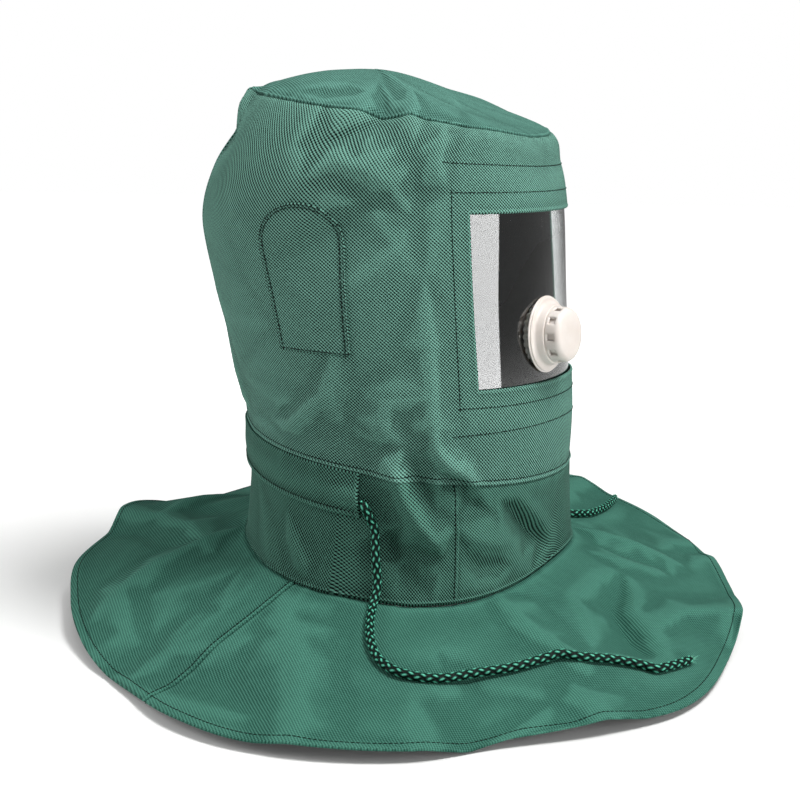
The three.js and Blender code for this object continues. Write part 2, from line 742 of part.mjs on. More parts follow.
function cord(points) {
  const path = new THREE.CatmullRomCurve3(points.map((point) => new THREE.Vector3(...point)));
  const section = new THREE.Shape();
  const sides = 8;
  for (let side = 0; side < sides; side += 1) {
    const turn = (2 * Math.PI * side) / sides;
    const corner = [(Math.cos(turn) * cordDiameter) / 2, (Math.sin(turn) * cordDiameter) / 2];
    if (side) section.lineTo(...corner);
    else section.moveTo(...corner);
  }
  const steps = Math.ceil(path.getLength() / (2.5 * cordDiameter));
  return new THREE.ExtrudeGeometry(section, { steps, bevelEnabled: false, extrudePath: path });
}

// Materials of the real pieces
const canvas = { color: 0x2f6b57, roughness: 0.85, metalness: 0 };
const canvasDark = { color: 0x24564a, roughness: 0.88, metalness: 0 };
const clearSheet = { color: 0xe8eef0, roughness: 0.08, metalness: 0, transparent: true, opacity: 0.25 };
const whitePlastic = { color: 0xf0f1ee, roughness: 0.4, metalness: 0 };
const braid = { color: 0x14604a, roughness: 0.6, metalness: 0 };

const hood = new THREE.Group();

function addPiece(name, geometry, material, frame = null) {
  const mesh = new THREE.Mesh(geometry, new THREE.MeshStandardMaterial(material));
  mesh.name = name;
  if (frame) {
    frame.decompose(mesh.position, mesh.quaternion, mesh.scale);
  }
  hood.add(mesh);
}

addPiece('face_panel', facePanel(), canvas);
addPiece('crown_gusset', crownGusset(), canvas);
addPiece('ear_patch_right', earPatch(patchAngle), canvasDark);
addPiece('ear_patch_left', earPatch(-patchAngle), canvasDark);
addPiece('neck_band_front', neckFront(), canvasDark);
addPiece('neck_band_back', neckBack(), canvasDark);
addPiece('cord_tunnel', cordTunnel(), canvasDark);
addPiece('skirt_front', skirtPanel(-skirtSeamAngle, skirtSeamAngle), canvas);
addPiece('skirt_back', skirtPanel(skirtSeamAngle, 360 - skirtSeamAngle), canvas);
addPiece('window_sheet', lens(), clearSheet);
addPiece('valve_body', valveBody(), whitePlastic, valveFrame);
addPiece('valve_cap', valveCap(), whitePlastic, valveFrame);
addPiece('valve_clamp_ring', clampRing(), whitePlastic, valveFrame);
addPiece('drawcord_right', cord(cordRight), braid);
addPiece('drawcord_left', cord(cordLeft), braid);

export default hood;
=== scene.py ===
import math
import bmesh
import bpy
import numpy as np
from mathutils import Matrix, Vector
from mathutils.geometry import delaunay_2d_cdt


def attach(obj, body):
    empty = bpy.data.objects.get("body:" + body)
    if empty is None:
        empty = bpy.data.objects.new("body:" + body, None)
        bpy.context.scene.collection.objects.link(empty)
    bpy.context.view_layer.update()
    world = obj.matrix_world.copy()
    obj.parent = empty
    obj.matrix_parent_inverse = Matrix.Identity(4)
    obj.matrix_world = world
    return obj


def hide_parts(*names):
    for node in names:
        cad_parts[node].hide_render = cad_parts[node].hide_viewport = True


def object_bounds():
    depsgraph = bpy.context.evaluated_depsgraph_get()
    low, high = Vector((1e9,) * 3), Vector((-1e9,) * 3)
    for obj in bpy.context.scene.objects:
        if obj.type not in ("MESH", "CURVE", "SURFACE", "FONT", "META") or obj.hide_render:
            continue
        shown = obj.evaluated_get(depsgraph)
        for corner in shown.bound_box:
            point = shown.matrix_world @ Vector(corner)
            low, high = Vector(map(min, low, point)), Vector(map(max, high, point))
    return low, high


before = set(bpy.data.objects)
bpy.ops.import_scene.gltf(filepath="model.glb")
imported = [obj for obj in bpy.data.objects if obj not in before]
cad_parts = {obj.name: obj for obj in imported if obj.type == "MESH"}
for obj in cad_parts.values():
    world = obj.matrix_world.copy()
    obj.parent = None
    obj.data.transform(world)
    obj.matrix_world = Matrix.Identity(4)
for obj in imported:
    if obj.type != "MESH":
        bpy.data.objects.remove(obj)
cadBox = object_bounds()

# A blasting hood of green canvas in its worn form. Sizes in the dictionaries are
# millimetres and degrees, and every object is in metres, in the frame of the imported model.
scene = bpy.context.scene
mm = 0.001


def linear(hexColour):
    values = [int(hexColour[i:i + 2], 16) / 255 for i in (1, 3, 5)]
    return [v / 12.92 if v <= 0.04045 else ((v + 0.055) / 1.055) ** 2.4 for v in values] + [1.0]


def addNode(tree, kind, links=None, stops=(), **settings):
    node = tree.nodes.new(kind)
    for key, value in settings.items():
        setattr(node, key, value)
    for key, value in (links or {}).items():
        if isinstance(value, bpy.types.NodeSocket):
            tree.links.new(value, node.inputs[key])
        else:
            node.inputs[key].default_value = value
    for at, (place, colour) in enumerate(stops):
        element = node.color_ramp.elements[at] if at < 2 else node.color_ramp.elements.new(place)
        element.position, element.color = place, linear(colour)
    return node


def newMaterial(name):
    material = bpy.data.materials.new(name)
    material.use_nodes = True
    tree = material.node_tree
    tree.nodes.clear()
    shader = addNode(tree, "ShaderNodeBsdfPrincipled")
    addNode(tree, "ShaderNodeOutputMaterial", {"Surface": shader.outputs[0]})
    return material, tree, shader


def meshObject(name, vertices, faces, materials=()):
    mesh = bpy.data.meshes.new(name)
    mesh.from_pydata(np.asarray(vertices).tolist(), [], [list(face) for face in faces])
    for material in materials:
        mesh.materials.append(material)
    obj = bpy.data.objects.new(name, mesh)
    scene.collection.objects.link(obj)
    return obj


def smooth(obj):
    obj.data.polygons.foreach_set("use_smooth", [True] * len(obj.data.polygons))
    obj.data.update()
    return obj


def merged(obj, recalculate=False):
    work = bmesh.new()
    work.from_mesh(obj.data)
    bmesh.ops.remove_doubles(work, verts=work.verts, dist=1e-6)
    bmesh.ops.dissolve_degenerate(work, edges=work.edges, dist=1e-8)
    if recalculate:
        bmesh.ops.recalc_face_normals(work, faces=work.faces)
    work.to_mesh(obj.data)
    work.free()
    return obj


def settle(obj, slot, *nodes):
    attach(obj, "root")
    if nodes:
        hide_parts(*nodes)


view = {
    "azimuth": -65.0, "pitchDown": 10.3, "lens": 66.6,
    "distance": 1060.0, "height": -41.4, "sideways": -2.86,
}


def makeCamera():
    turn = math.radians(view["azimuth"])
    out = Vector((math.sin(turn), -math.cos(turn), 0)) * view["distance"]
    right = Vector((math.cos(turn), math.sin(turn), 0)) * view["sideways"]
    camera = bpy.data.objects.new("camera", bpy.data.cameras.new("camera"))
    camera.data.lens = view["lens"]
    camera.data.sensor_width = 36
    camera.data.clip_start = 0.05
    camera.location = (out + right + Vector((0, 0, view["height"]))) * mm
    camera.rotation_euler = (math.radians(90 - view["pitchDown"]), 0, turn)
    scene.collection.objects.link(camera)
    scene.camera = camera


makeCamera()
print("camera is in place")

drawcord = {
    "diameter": 5.6, "strands": 4, "pitch": 7.4, "relief": 0.85, "sides": 48, "step": 0.5,
    # the dark and pale colours are painted shade and a painted highlight of the braid; body is its dye
    "grooveShade": "#01120d", "body": "#0d5643", "crest": "#63bda2", "cut": "#8fd6bc",
    "tuftStrands": 34, "tuftLength": 5.5, "tuftWidth": 0.42, "seed": 5,
}
# the chosen points of each free end, from the mouth of the tunnel to the cut end
rightCordPoints = [
    (-118, -23.5, -281), (-118.5, -26.5, -284), (-116.5, -29, -291), (-114.5, -31.5, -298.5),
    (-118.5, -34.5, -318.5), (-121.5, -37, -335.5), (-128, -37.5, -345), (-140.5, -41.5, -349.5),
    (-164, -53, -356.5), (-179.5, -66.5, -362), (-187, -84, -365), (-179, -105.5, -368),
    (-161.5, -124, -367.5), (-145.5, -143, -366), (-130, -156.5, -363.5), (-122, -164, -362),
    (-116.5, -176, -364), (-102, -191, -368), (-92, -208.5, -372.5), (-89.5, -216.5, -374.5),
    (-80, -222, -375.5), (-56, -231, -377.5),
]
leftCordPoints = [
    (118.5, -24, -279), (119.5, -26.5, -282), (117.5, -29, -290), (118, -31, -302.5),
    (120.5, -33.5, -319), (122.5, -36.5, -331.5), (127, -48, -336.5), (130.5, -70, -339),
    (136.5, -83.5, -342), (149, -88.5, -344.5), (157, -91.5, -346), (190, -94, -349),
    (224.5, -91.5, -351), (241, -89, -352),
]


def evenPath(points, step):
    # a centripetal curve through the points, walked at even steps
    p = np.array(points, float)
    p = np.vstack([2 * p[0] - p[1], p, 2 * p[-1] - p[-2]])
    gap = np.linalg.norm(np.diff(p, axis=0), axis=1) ** 0.5
    t = np.linspace(0, 1, 24, endpoint=False)[:, None]
    dense = []
    for i in range(1, len(p) - 2):
        before, here, after = gap[i - 1:i + 2]
        span = p[i + 1] - p[i]
        start = (p[i] - p[i - 1]) / before - (p[i + 1] - p[i - 1]) / (before + here) + span / here
        end = span / here - (p[i + 2] - p[i]) / (here + after) + (p[i + 2] - p[i + 1]) / after
        rest = t * t * (3 - 2 * t)
        bend = start * (t - 2 * t**2 + t**3) + end * (t**3 - t**2)
        dense.append(p[i] + span * rest + bend * here)
    dense = np.vstack([*dense, p[-2]])
    run = np.concatenate([[0], np.cumsum(np.linalg.norm(np.diff(dense, axis=0), axis=1))])
    even = np.linspace(0, run[-1], int(run[-1] / step) + 1)
    return np.stack([np.interp(even, run, dense[:, k]) for k in range(3)], 1), even


def pathFrames(path):
    # two side directions at each point, carried along without twist
    ahead = np.gradient(path, axis=0)
    ahead /= np.linalg.norm(ahead, axis=1, keepdims=True)
    side = np.cross(ahead[0], (0, 0, 1.0))
    sides = []
    for direction in ahead:
        side = side - direction * (side @ direction)
        side = side / np.linalg.norm(side)
        sides.append(side)
    sides = np.array(sides)
    return ahead, sides, np.cross(ahead, sides)


def cordMaterial():
    # braided polyester: shiny filament strands; the body colour is the dye, the pale colour on their crests is a
    # painted highlight and the dark colour round them, where they cross, is painted shade
    material, tree, shader = newMaterial("braided polyester cord")
    crest = addNode(tree, "ShaderNodeAttribute", attribute_name="crest").outputs["Fac"]
    stops = [(0.15, drawcord["grooveShade"]), (0.48, drawcord["body"]), (0.84, drawcord["crest"])]
    colour = addNode(tree, "ShaderNodeValToRGB", {"Fac": crest}, stops).outputs["Color"]
    place = addNode(tree, "ShaderNodeUVMap", uv_map="cloth").outputs[0]
    links = {"Vector": place, "Scale": 9.0, "Distortion": 2.0}
    fibres = addNode(tree, "ShaderNodeTexWave", links).outputs["Fac"]
    bump = addNode(tree, "ShaderNodeBump", {"Height": fibres, "Strength": 0.25, "Distance": 0.0002})
    tree.links.new(colour, shader.inputs["Base Color"])
    tree.links.new(bump.outputs[0], shader.inputs["Normal"])
    shader.inputs["Roughness"].default_value = 0.5
    shader.inputs["Specular IOR Level"].default_value = 0.15
    return material


def tuftMaterial():
    # the same filament where the cut end is opened: loose fibres look paler and matt
    material, tree, shader = newMaterial("cut polyester fibre")
    place = addNode(tree, "ShaderNodeTexCoord").outputs["Object"]
    patches = addNode(tree, "ShaderNodeTexNoise", {"Vector": place, "Scale": 900.0}).outputs["Fac"]
    stops = [(0.3, "#2d8a70"), (0.7, drawcord["cut"])]
    colour = addNode(tree, "ShaderNodeValToRGB", {"Fac": patches}, stops).outputs["Color"]
    tree.links.new(colour, shader.inputs["Base Color"])
    shader.inputs["Roughness"].default_value = 0.6
    return material


def braidedCord(name, points, material):
    path, run = evenPath(points, drawcord["step"])
    ahead, side, up = pathFrames(path)
    sides, strands = drawcord["sides"], drawcord["strands"]
    turn = 2 * np.pi * np.arange(sides) / sides
    around, along = turn[None, :] * strands / (2 * np.pi), run[:, None] / drawcord["pitch"]
    leftward, rightward = around + along, around - along
    a, b = leftward % 1, rightward % 1
    over = (np.floor(leftward) + np.floor(rightward)) % 2 == 0
    across, lengthways = np.where(over, a, b), np.where(over, b, a)
    crest = np.sin(np.pi * across) ** 1.1 * np.sin(np.pi * np.clip(lengthways, 0.02, 0.98)) ** 0.35
    # shine is high on the middle of each strand, where the painted highlight goes, and low round it, where the painted
    # shade goes
    shine = np.sin(np.pi * across) ** 3.2 * np.sin(np.pi * np.clip(lengthways, 0.02, 0.98)) ** 0.7
    sealed = np.clip((run[-1] - run) / 2.4, 0, 1)[:, None] ** 0.5
    radius = (drawcord["diameter"] / 2 - drawcord["relief"] * (0.75 - crest)) * (0.35 + 0.65 * sealed)
    reach = side[:, None] * np.cos(turn)[None, :, None] + up[:, None] * np.sin(turn)[None, :, None]
    rings = path[:, None] + reach * radius[..., None]
    count = len(path)
    vertices = np.vstack([rings.reshape(-1, 3), path[0] - ahead[0] * 0.2, path[-1] + ahead[-1] * 0.5])
    faces = []
    for i in range(count - 1):
        for k in range(sides):
            n = (k + 1) % sides
            faces.append((i * sides + k, i * sides + n, (i + 1) * sides + n, (i + 1) * sides + k))
    first, last = count * sides, count * sides + 1
    for k in range(sides):
        n = (k + 1) % sides
        faces.append((first, n, k))
        faces.append((last, (count - 1) * sides + k, (count - 1) * sides + n))
    obj = meshObject(name, vertices * mm, faces, [material])
    # this attribute carries the painted highlight and painted shade of the braid to its colour
    layer = obj.data.attributes.new("crest", "FLOAT", "POINT")
    layer.data.foreach_set("value", np.concatenate([shine.ravel(), [0.2, 0.9]]))
    spot = np.stack([grid.ravel() for grid in np.broadcast_arrays(around, run[:, None] / 6, crest)[:2]], 1)
    spot = np.vstack([spot, [0, 0], [0, run[-1] / 6]])
    corner = np.empty(len(obj.data.loops), dtype=int)
    obj.data.loops.foreach_get("vertex_index", corner)
    uv = obj.data.uv_layers.new(name="cloth")
    uv.data.foreach_set("uv", spot[corner].ravel())
    smooth(obj)
    return obj, path, run[-1]


def cordTuft(name, path, material):
    # short loose fibres round the cut end
    ahead, side, up = pathFrames(path)
    random = np.random.default_rng(drawcord["seed"])
    end, forward = path[-1], ahead[-1]
    vertices, faces = [], []
    for strand in range(drawcord["tuftStrands"]):
        turn = random.uniform(0, 2 * np.pi)
        out = side[-1] * np.cos(turn) + up[-1] * np.sin(turn)
        start = end - forward * random.uniform(0.4, 1.4) + out * random.uniform(0.3, 2.2)
        lean = out * random.uniform(0.15, 0.75) + forward
        length = drawcord["tuftLength"] * random.uniform(0.45, 1.0)
        tip = start + lean / np.linalg.norm(lean) * length + random.normal(0, 0.35, 3)
        tip[2] = max(tip[2], end[2] - drawcord["diameter"] / 2)
        across = np.cross(forward, out) * drawcord["tuftWidth"] / 2
        flat = out * drawcord["tuftWidth"] / 2
        base = len(vertices)
        vertices += [start + across, start + flat, start - across, start - flat, tip]
        faces += [(base + k, base + (k + 1) % 4, base + 4) for k in range(4)]
        faces.append((base + 3, base + 2, base + 1, base))
    return merged(meshObject(name, np.array(vertices) * mm, faces, [material]), recalculate=True)


cordBraid, cordFibre, cordPaths = cordMaterial(), tuftMaterial(), []
for sideName, cordPoints in (("right", rightCordPoints), ("left", leftCordPoints)):
    cordPiece, cordPath, cordRun = braidedCord("braided_drawcord_" + sideName, cordPoints, cordBraid)
    tuft = cordTuft("drawcord_tuft_" + sideName, cordPath, cordFibre)
    cordPaths.append(cordPath[::6])
    settle(cordPiece, "cord_braid", "drawcord_" + sideName)
    settle(tuft, "cord_braid")
    print(f"drawcord {sideName}: {cordRun:.0f} mm")

hood = {
    "height": 388.0, "headReach": 118.0, "neckReach": 114.0, "skirtReach": 270.0, "cloth": 1.6,
    "seamGap": 0.3, "layerGap": 0.8, "foldRise": 10.0, "foldWidth": 20.0, "foldCrest": 2.4,
    "foldSlope": 0.6, "foldTaper": 0.7, "skirtSag": 0.88, "backSeam": 151.0, "neckSeam": 49.5,
    "skirtSeam": 104.0, "windowWidth": 172.0, "windowHeight": 115.0, "windowSill": 178.0,
    "lensMargin": 11.0, "tunnelMouth": 83.0, "tunnelDepth": 32.0,
}
# sections from the seam above the skirt (level 0) up to the top of the crown (level 10):
# ring, height at front, side and back, reach to front and back, half width, squareness
# of the front and back half, lean; heights are shares of the height, reaches of the ring's
sectionRows = [
    ("neck", 0.12, 0.117, 0.172, 1.0, 0.99, 1.07, 3.0, 2.0, 0.01),  # seam above the skirt
    ("neck", 0.2, 0.215, 0.272, 1.03, 0.965, 1.02, 2.4, 2.0, 0.005),  # middle of the neck band
    ("neck", 0.288, 0.324, 0.378, 1.06, 0.98, 1.01, 2.1, 2.1, 0),  # seam above the neck band
    ("head", 0.365, 0.39, 0.428, 1.03, 0.975, 0.99, 2.1, 2.1, 0),  # jaw
    ("head", 0.454, 0.46, 0.485, 1.02, 1.025, 1.0, 2.1, 2.1, 0),  # foot of the window
    ("head", 0.606, 0.608, 0.608, 0.995, 1.13, 1.015, 2.1, 2.1, 0),  # middle of the window
    ("head", 0.755, 0.752, 0.737, 0.975, 1.23, 1.0, 2.1, 2.1, 0),  # head of the window
    ("head", 0.83, 0.848, 0.85, 0.925, 1.09, 0.94, 2.2, 2.2, 0),  # brow
    ("head", 0.884, 0.928, 0.962, 0.855, 0.87, 0.76, 2.4, 2.3, 0),  # seam round the roof
    ("head", 0.93, 0.977, 0.99, 0.47, 0.66, 0.44, 2.2, 2.2, 0),  # middle of the roof
    ("head", 1, 1, 1, -0.2, 0.2, 0, 2, 2, 0),  # top of the crown
]
# hem of the skirt: angle, reach as a share of skirtReach, rise as a share of the height
hemRows = [
    (-180, 0.985, 0.057), (-170, 1.015, 0.085), (-155, 0.993, 0.08),
    (-140, 1.007, 0.098), (-115, 1.02, 0.082), (-90, 1.035, 0.098),
    (-72, 1.0, 0.08), (-55, 0.955, 0.052), (-40, 0.93, 0.041),
    (-28, 0.91, 0.022), (-10, 0.905, 0.015), (5, 0.92, 0.004),
    (25, 0.985, 0), (38, 0.977, 0.004), (52, 0.965, 0),
    (65, 1.015, 0.002), (85, 1.015, 0.001), (97, 0.978, 0.005),
    (110, 0.915, 0.001), (125, 0.893, 0.005), (140, 0.893, 0.023),
    (152, 0.91, 0.026), (165, 0.955, 0.042),
]
# folds and dents: from (angle, level) to (angle, level), rise and width as shares of the units
mainFolds = [
    # the crown and the seam at its edge
    ((78, 8.1), (84, 7.6), -0.75, 1.1),
    ((63, 8.1), (66, 8.8), 0.35, 0.9),
    ((80, 8.0), (104, 7.1), 0.5, 0.6),
    ((112, 8.3), (88, 8.5), -0.45, 0.7),
    ((150, 8.0), (144, 7.7), 0.6, 0.6),
    ((158, 7.45), (140, 7.3), -0.6, 0.8),
    ((-78, 8.0), (-95, 7.3), -0.5, 1.0),
    ((-62, 8.1), (-64, 8.7), 0.35, 0.9),
    # the sides of the head
    ((88, 7.1), (67, 6.5), 0.45, 0.55),
    ((66, 6.45), (82, 5.9), -0.4, 0.7),
    ((64, 6.7), (59, 5.6), 0.45, 0.6),
    ((58, 6.2), (60, 4.8), -0.4, 1.0),
    ((70, 5.6), (82, 3.2), 0.4, 1.1),
    ((95, 4.2), (112, 3.0), 0.3, 0.9),
    ((130, 5.8), (142, 4.6), -0.3, 1.2),
    ((-62, 6.7), (-71, 5.2), 0.4, 0.8),
    ((-58, 5.9), (-62, 4.4), -0.35, 1.0),
    ((-104, 4.4), (-88, 3.0), 0.35, 1.0),
    ((180, 5.4), (180, 3.0), -0.3, 1.2),
    # the front below the window
    ((54, 3.7), (66, 2.3), -0.3, 0.7),
    ((8, 3.2), (14, 2.2), 0.25, 0.9),
    ((-46, 3.6), (-60, 2.3), -0.3, 0.8),
    # the neck band
    ((69, 1.95), (59, 1.0), 0.6, 0.45),
    ((59, 1.0), (49, 0.3), 0.5, 0.45),
    ((76, 1.2), (72, 0.7), -0.8, 0.7),
    ((46, 1.3), (34, 0.9), -0.5, 0.6),
    ((31, 1.5), (-3, 0.4), -0.6, 0.6),
    ((57, 1.9), (47, 1.3), 0.4, 0.4),
    ((108, 1.0), (100, 0.3), 0.35, 0.7),
    ((-70, 1.8), (-56, 0.6), 0.5, 0.5),
    ((-40, 1.4), (-20, 0.5), -0.5, 0.6),
    ((165, 1.2), (178, 0.3), -0.35, 0.7),
    # the skirt
    ((104, -0.1), (82, -0.95), 0.5, 0.6),
    ((30, -0.15), (33, -0.7), 0.55, 0.8),
    ((-2, -0.3), (11, -0.75), -0.8, 0.9),
    ((2, -0.55), (-6, -1.0), 0.6, 0.8),
    ((-55, -0.15), (-27, -0.5), 0.6, 0.8),
    ((-178, -1.0), (166, -0.3), 0.8, 0.7),
    ((-172, -0.7), (-178, -0.25), -0.5, 0.8),
    ((-160, -1.0), (-172, -0.3), 0.7, 0.7),
    ((-128, -1.0), (-120, -0.2), -0.8, 1.3),
    ((-92, -1.0), (-88, -0.2), 0.5, 1.2),
    ((128, -1.0), (122, -0.25), -0.35, 1.4),
    ((52, -1.0), (56, -0.3), -0.35, 1.2),
]
# creases of the stiff cloth, placed after those seen on the wearer's right: corners as
# (angle, level, millimetres out), then how far the flat sides reach to the left and right of the
# way it is listed; creased["share"] scales the millimetres
sideCreases = [
    # the crown and the seam round it
    (((45, 9.35, 0), (62, 8.9, 5), (66, 8.3, 6), (68.5, 7.95, 3), (70, 7.7, 0)), 34, 13),
    (((77, 9.1, 0), (78, 8.15, -5), (80, 7.8, -6), (85, 7.5, -5), (91, 7.28, -4), (99, 7.22, 0)), 30, 12),
    (((112, 8.25, 0), (100, 8.35, -3), (90, 8.55, -2), (84, 8.6, 0)), 14, 12),
    (((159, 8.0, 0), (151, 7.95, 6), (145, 7.7, 5), (138, 7.6, 0)), 10, 12),
    (((168, 7.5, 0), (158, 7.42, -2.4), (148, 7.35, -4.4), (140, 7.3, -3.4), (131, 7.2, 0)), 14, 16),
    # the side of the head
    (((92, 6.6, 0), (83, 6.9, 3.5), (76, 6.76, 4.5), (68, 6.5, 2.5), (65, 6.43, 0)), 26, 10),
    (((65.2, 6.38, 0), (72, 6.2, -3), (80, 5.9, -5), (87, 5.7, -5), (94, 5.5, -3), (106, 5.45, 0)), 34, 14),
    (((60, 6.85, -1), (59, 6.3, -3), (58.5, 5.95, -2)), 20, 4),
    (((55, 7.9, 1), (54.5, 7.3, 3), (52.5, 6.8, 2.5), (48.5, 6.4, 0)), 8, 14),
    (((57, 5.3, 0), (57, 4.6, 3), (58, 4.0, 4.2), (58.5, 3.4, 5), (58, 2.95, 6)), 20, 20),
    (((58, 2.95, 6), (55.5, 2.6, 7), (52, 2.35, 6), (46.5, 2.12, 3), (40, 1.98, 0)), 14, 9),
    (((65, 4.4, 0), (71, 3.85, 3.5), (74, 3.25, 4.5), (75.5, 2.9, 2), (76, 2.7, 0)), 11, 22),
    (((84, 4.7, 0), (91, 3.9, 3.2), (99, 3.4, 3.6), (106, 2.9, 3), (111, 2.5, 0)), 14, 9),
    (((99, 3.75, 0), (107, 3.2, -2), (114, 2.85, 0)), 4, 8),
    # the neck
    (((76, 2.6, 0), (72, 2.25, 5), (70, 2.0, 7), (67.5, 1.62, 8), (63, 1.3, 8), (58.5, 1.05, 6), (55, 0.8, 0)), 6, 24),
    (((67.5, 2.85, 0), (66, 2.4, -3), (64.5, 2.1, -4), (61.5, 1.75, -2), (59, 1.5, 0)), 10, 6),
    (((57.5, 2.28, 0), (54, 2.12, -3.5), (49, 2.03, -3.5), (44.5, 1.96, 0)), 5, 8),
    (((51, 1.8, 0), (47, 1.74, -3), (43, 1.66, -3), (37, 1.5, 0)), 7, 15),
    (((34, 1.72, 0), (28, 1.55, -4), (20, 1.25, -6), (11, 0.9, -6), (4, 0.6, -3), (0, 0.45, 0)), 8, 24),
    (((51, 1.3, 0), (44, 1.08, 3), (34, 0.95, 2.5), (26, 0.9, 0)), 16, 10),
    (((49, 0.72, 0), (40, 0.62, -2), (30, 0.56, -2), (23, 0.52, 0)), 7, 12),
    (((86, 1.2, 0), (79, 1.0, -2.6), (71, 0.65, -3.4), (64, 0.3, -2), (59, 0.08, 0)), 16, 22),
    (((112, 1.1, 0), (107, 0.75, 2.2), (101, 0.4, 1.6), (98, 0.15, 0)), 9, 12),
    # the skirt
    (((153, -0.02, 0), (150, -0.22, 5), (147, -0.48, 6), (141, -0.72, 4), (134, -0.97, 0)), 24, 34),
    (((159, -0.12, 0), (166, -0.32, 5), (180, -0.62, 6.5), (186, -1.0, 6)), 26, 26),
    (((105, -0.07, 0), (96, -0.2, 2.4), (91, -0.32, 3.2), (86, -0.52, 3.6), (81, -0.8, 3), (79, -1.0, 2)), 30, 20),
    (((36, -0.02, 0), (32.5, -0.15, 2.5), (34, -0.36, 3.4), (34.5, -0.52, 2), (35, -0.6, 0)), 26, 13),
    (((-3, -0.24, 0), (3, -0.41, -6), (10, -0.56, -8), (15, -0.68, -5), (18, -0.8, 0)), 13, 34),
    (((4, -0.52, 0), (-3, -0.7, 3), (-10, -0.93, 4.5), (-12, -1.0, 5)), 26, 13),
    (((-40, -0.03, 0), (-35, -0.2, 4), (-33.5, -0.42, 5), (-32, -0.6, 3), (-31, -0.75, 0)), 22, 24),
    (((-37, -0.6, 0), (-41, -0.82, -3), (-43, -1.0, -3)), 18, 16),
    (((37, -0.66, 0), (38, -0.82, 3), (38.5, -1.0, 3.5)), 30, 18),
]
# creases of the far side and the back, which the photograph doesn't show: all of them are made up
farCreases = [
    (((-60, 9.2, 0), (-66, 8.6, 3), (-70, 8.2, 3), (-72, 7.8, 0)), 14, 24),
    (((-84, 8.7, 0), (-82, 8.2, -3.5), (-86, 7.7, -4), (-95, 7.35, -2), (-103, 7.3, 0)), 14, 24),
    (((-146, 8.1, 0), (-151, 7.9, 5), (-148, 7.55, 3), (-143, 7.35, 0)), 12, 12),
    (((-92, 6.8, 0), (-82, 6.7, 2.5), (-73, 6.3, 2.5), (-66, 6.1, 0)), 10, 22),
    (((-64, 6.0, 0), (-74, 5.6, -3), (-83, 5.4, -3), (-95, 5.5, 0)), 14, 26),
    (((-55, 7.7, 1), (-56, 7.1, 3), (-52, 6.6, 0)), 12, 8),
    (((-56, 5.0, 0), (-58, 4.2, 3), (-57, 3.4, 3.4), (-60, 2.7, 4), (-54, 2.3, 4), (-46, 2.05, 0)), 14, 14),
    (((-70, 4.6, 0), (-76, 3.9, 2.6), (-79, 3.1, 2.4), (-84, 2.6, 0)), 16, 12),
    (((-97, 4.0, 0), (-91, 3.3, -2.6), (-95, 2.8, 0)), 10, 12),
    (((-112, 4.5, 0), (-107, 3.8, 2.4), (-98, 3.0, 2.6), (-90, 2.5, 0)), 14, 12),
    (((-78, 2.5, 0), (-74, 2.1, 4), (-69, 1.7, 5.5), (-62, 1.25, 5), (-56, 0.9, 0)), 16, 7),
    (((-48, 1.75, 0), (-40, 1.5, -3.5), (-33, 1.1, -4), (-27, 0.8, 0)), 8, 14),
    (((-84, 1.2, 0), (-77, 0.9, -4), (-71, 0.5, -4), (-66, 0.2, 0)), 14, 10),
    (((-104, 1.4, 0), (-110, 1.0, 2.6), (-118, 0.5, 2.4), (-121, 0.15, 0)), 12, 12),
    (((172, 6.9, 0), (176, 5.8, -3), (171, 4.5, -3.6), (175, 3.2, 0)), 22, 24),
    (((203, 6.3, 0), (198, 5.0, 2.6), (204, 3.7, 3), (200, 2.7, 0)), 20, 16),
    (((150, 4.6, 0), (143, 3.8, 2.6), (140, 3.0, 2.4), (133, 2.4, 0)), 16, 12),
    (((158, 3.0, 0), (169, 2.6, 3), (182, 2.35, 3), (194, 2.2, 0)), 8, 12),
    (((170, 1.0, 0), (160, 0.75, -3), (152, 0.45, -3), (147, 0.15, 0)), 10, 14),
    (((204, 1.2, 0), (212, 0.85, 3), (221, 0.5, 3), (227, 0.15, 0)), 10, 12),
    (((-66, -0.1, 0), (-72, -0.35, 3.5), (-78, -0.65, 4.5), (-80, -1.0, 5)), 24, 30),
    (((-98, -0.15, 0), (-96, -0.45, -3), (-100, -0.75, -4), (-99, -1.0, -4)), 28, 28),
    (((-128, -0.1, 0), (-122, -0.4, 3), (-124, -0.7, 4.5), (-121, -1.0, 5)), 26, 26),
    (((-150, -0.15, 0), (-148, -0.5, -3.5), (-144, -1.0, -4)), 24, 24),
    (((-14, -0.1, 0), (-17, -0.3, 2.4), (-20, -0.5, 2), (-21, -0.62, 0)), 18, 16),
    (((126, -0.1, 0), (122, -0.4, -2.4), (119, -0.75, -3), (118, -1.0, -2)), 26, 28),
    (((60, -0.3, 0), (57, -0.6, -3), (57, -1.0, -4)), 26, 26),
]
crownLevel = len(sectionRows) - 1
crownInside = hood["height"] - hood["cloth"]
windowAngle = math.degrees(hood["windowWidth"] / 2 / hood["headReach"])


def sectionTable():
    rows = []
    for ring, zFront, zSide, zBack, front, back, half, squareFront, squareBack, lean in sectionRows:
        reach = hood[ring + "Reach"]
        heights = [value * hood["height"] for value in (zFront, zSide, zBack)]
        reaches = (front * reach, back * reach, half * reach)
        rows.append([*heights, *reaches, squareFront, squareBack, lean * hood["height"]])
    # past the crown the sections come down again on the other side, so the top is round
    below, top = rows[-2], rows[-1]
    middle = (top[4] - top[3]) - (below[4] - below[3]) / 2
    deep = (below[3] + below[4]) / 2
    rows.append([*below[:3], -deep - middle, -deep + middle, -below[5], *below[6:]])
    return np.array([rows[0], *rows])


sectionValues = sectionTable()
hemAngle, hemReach, hemRise = np.array(hemRows).T * [[1], [hood["skirtReach"]], [hood["height"]]]


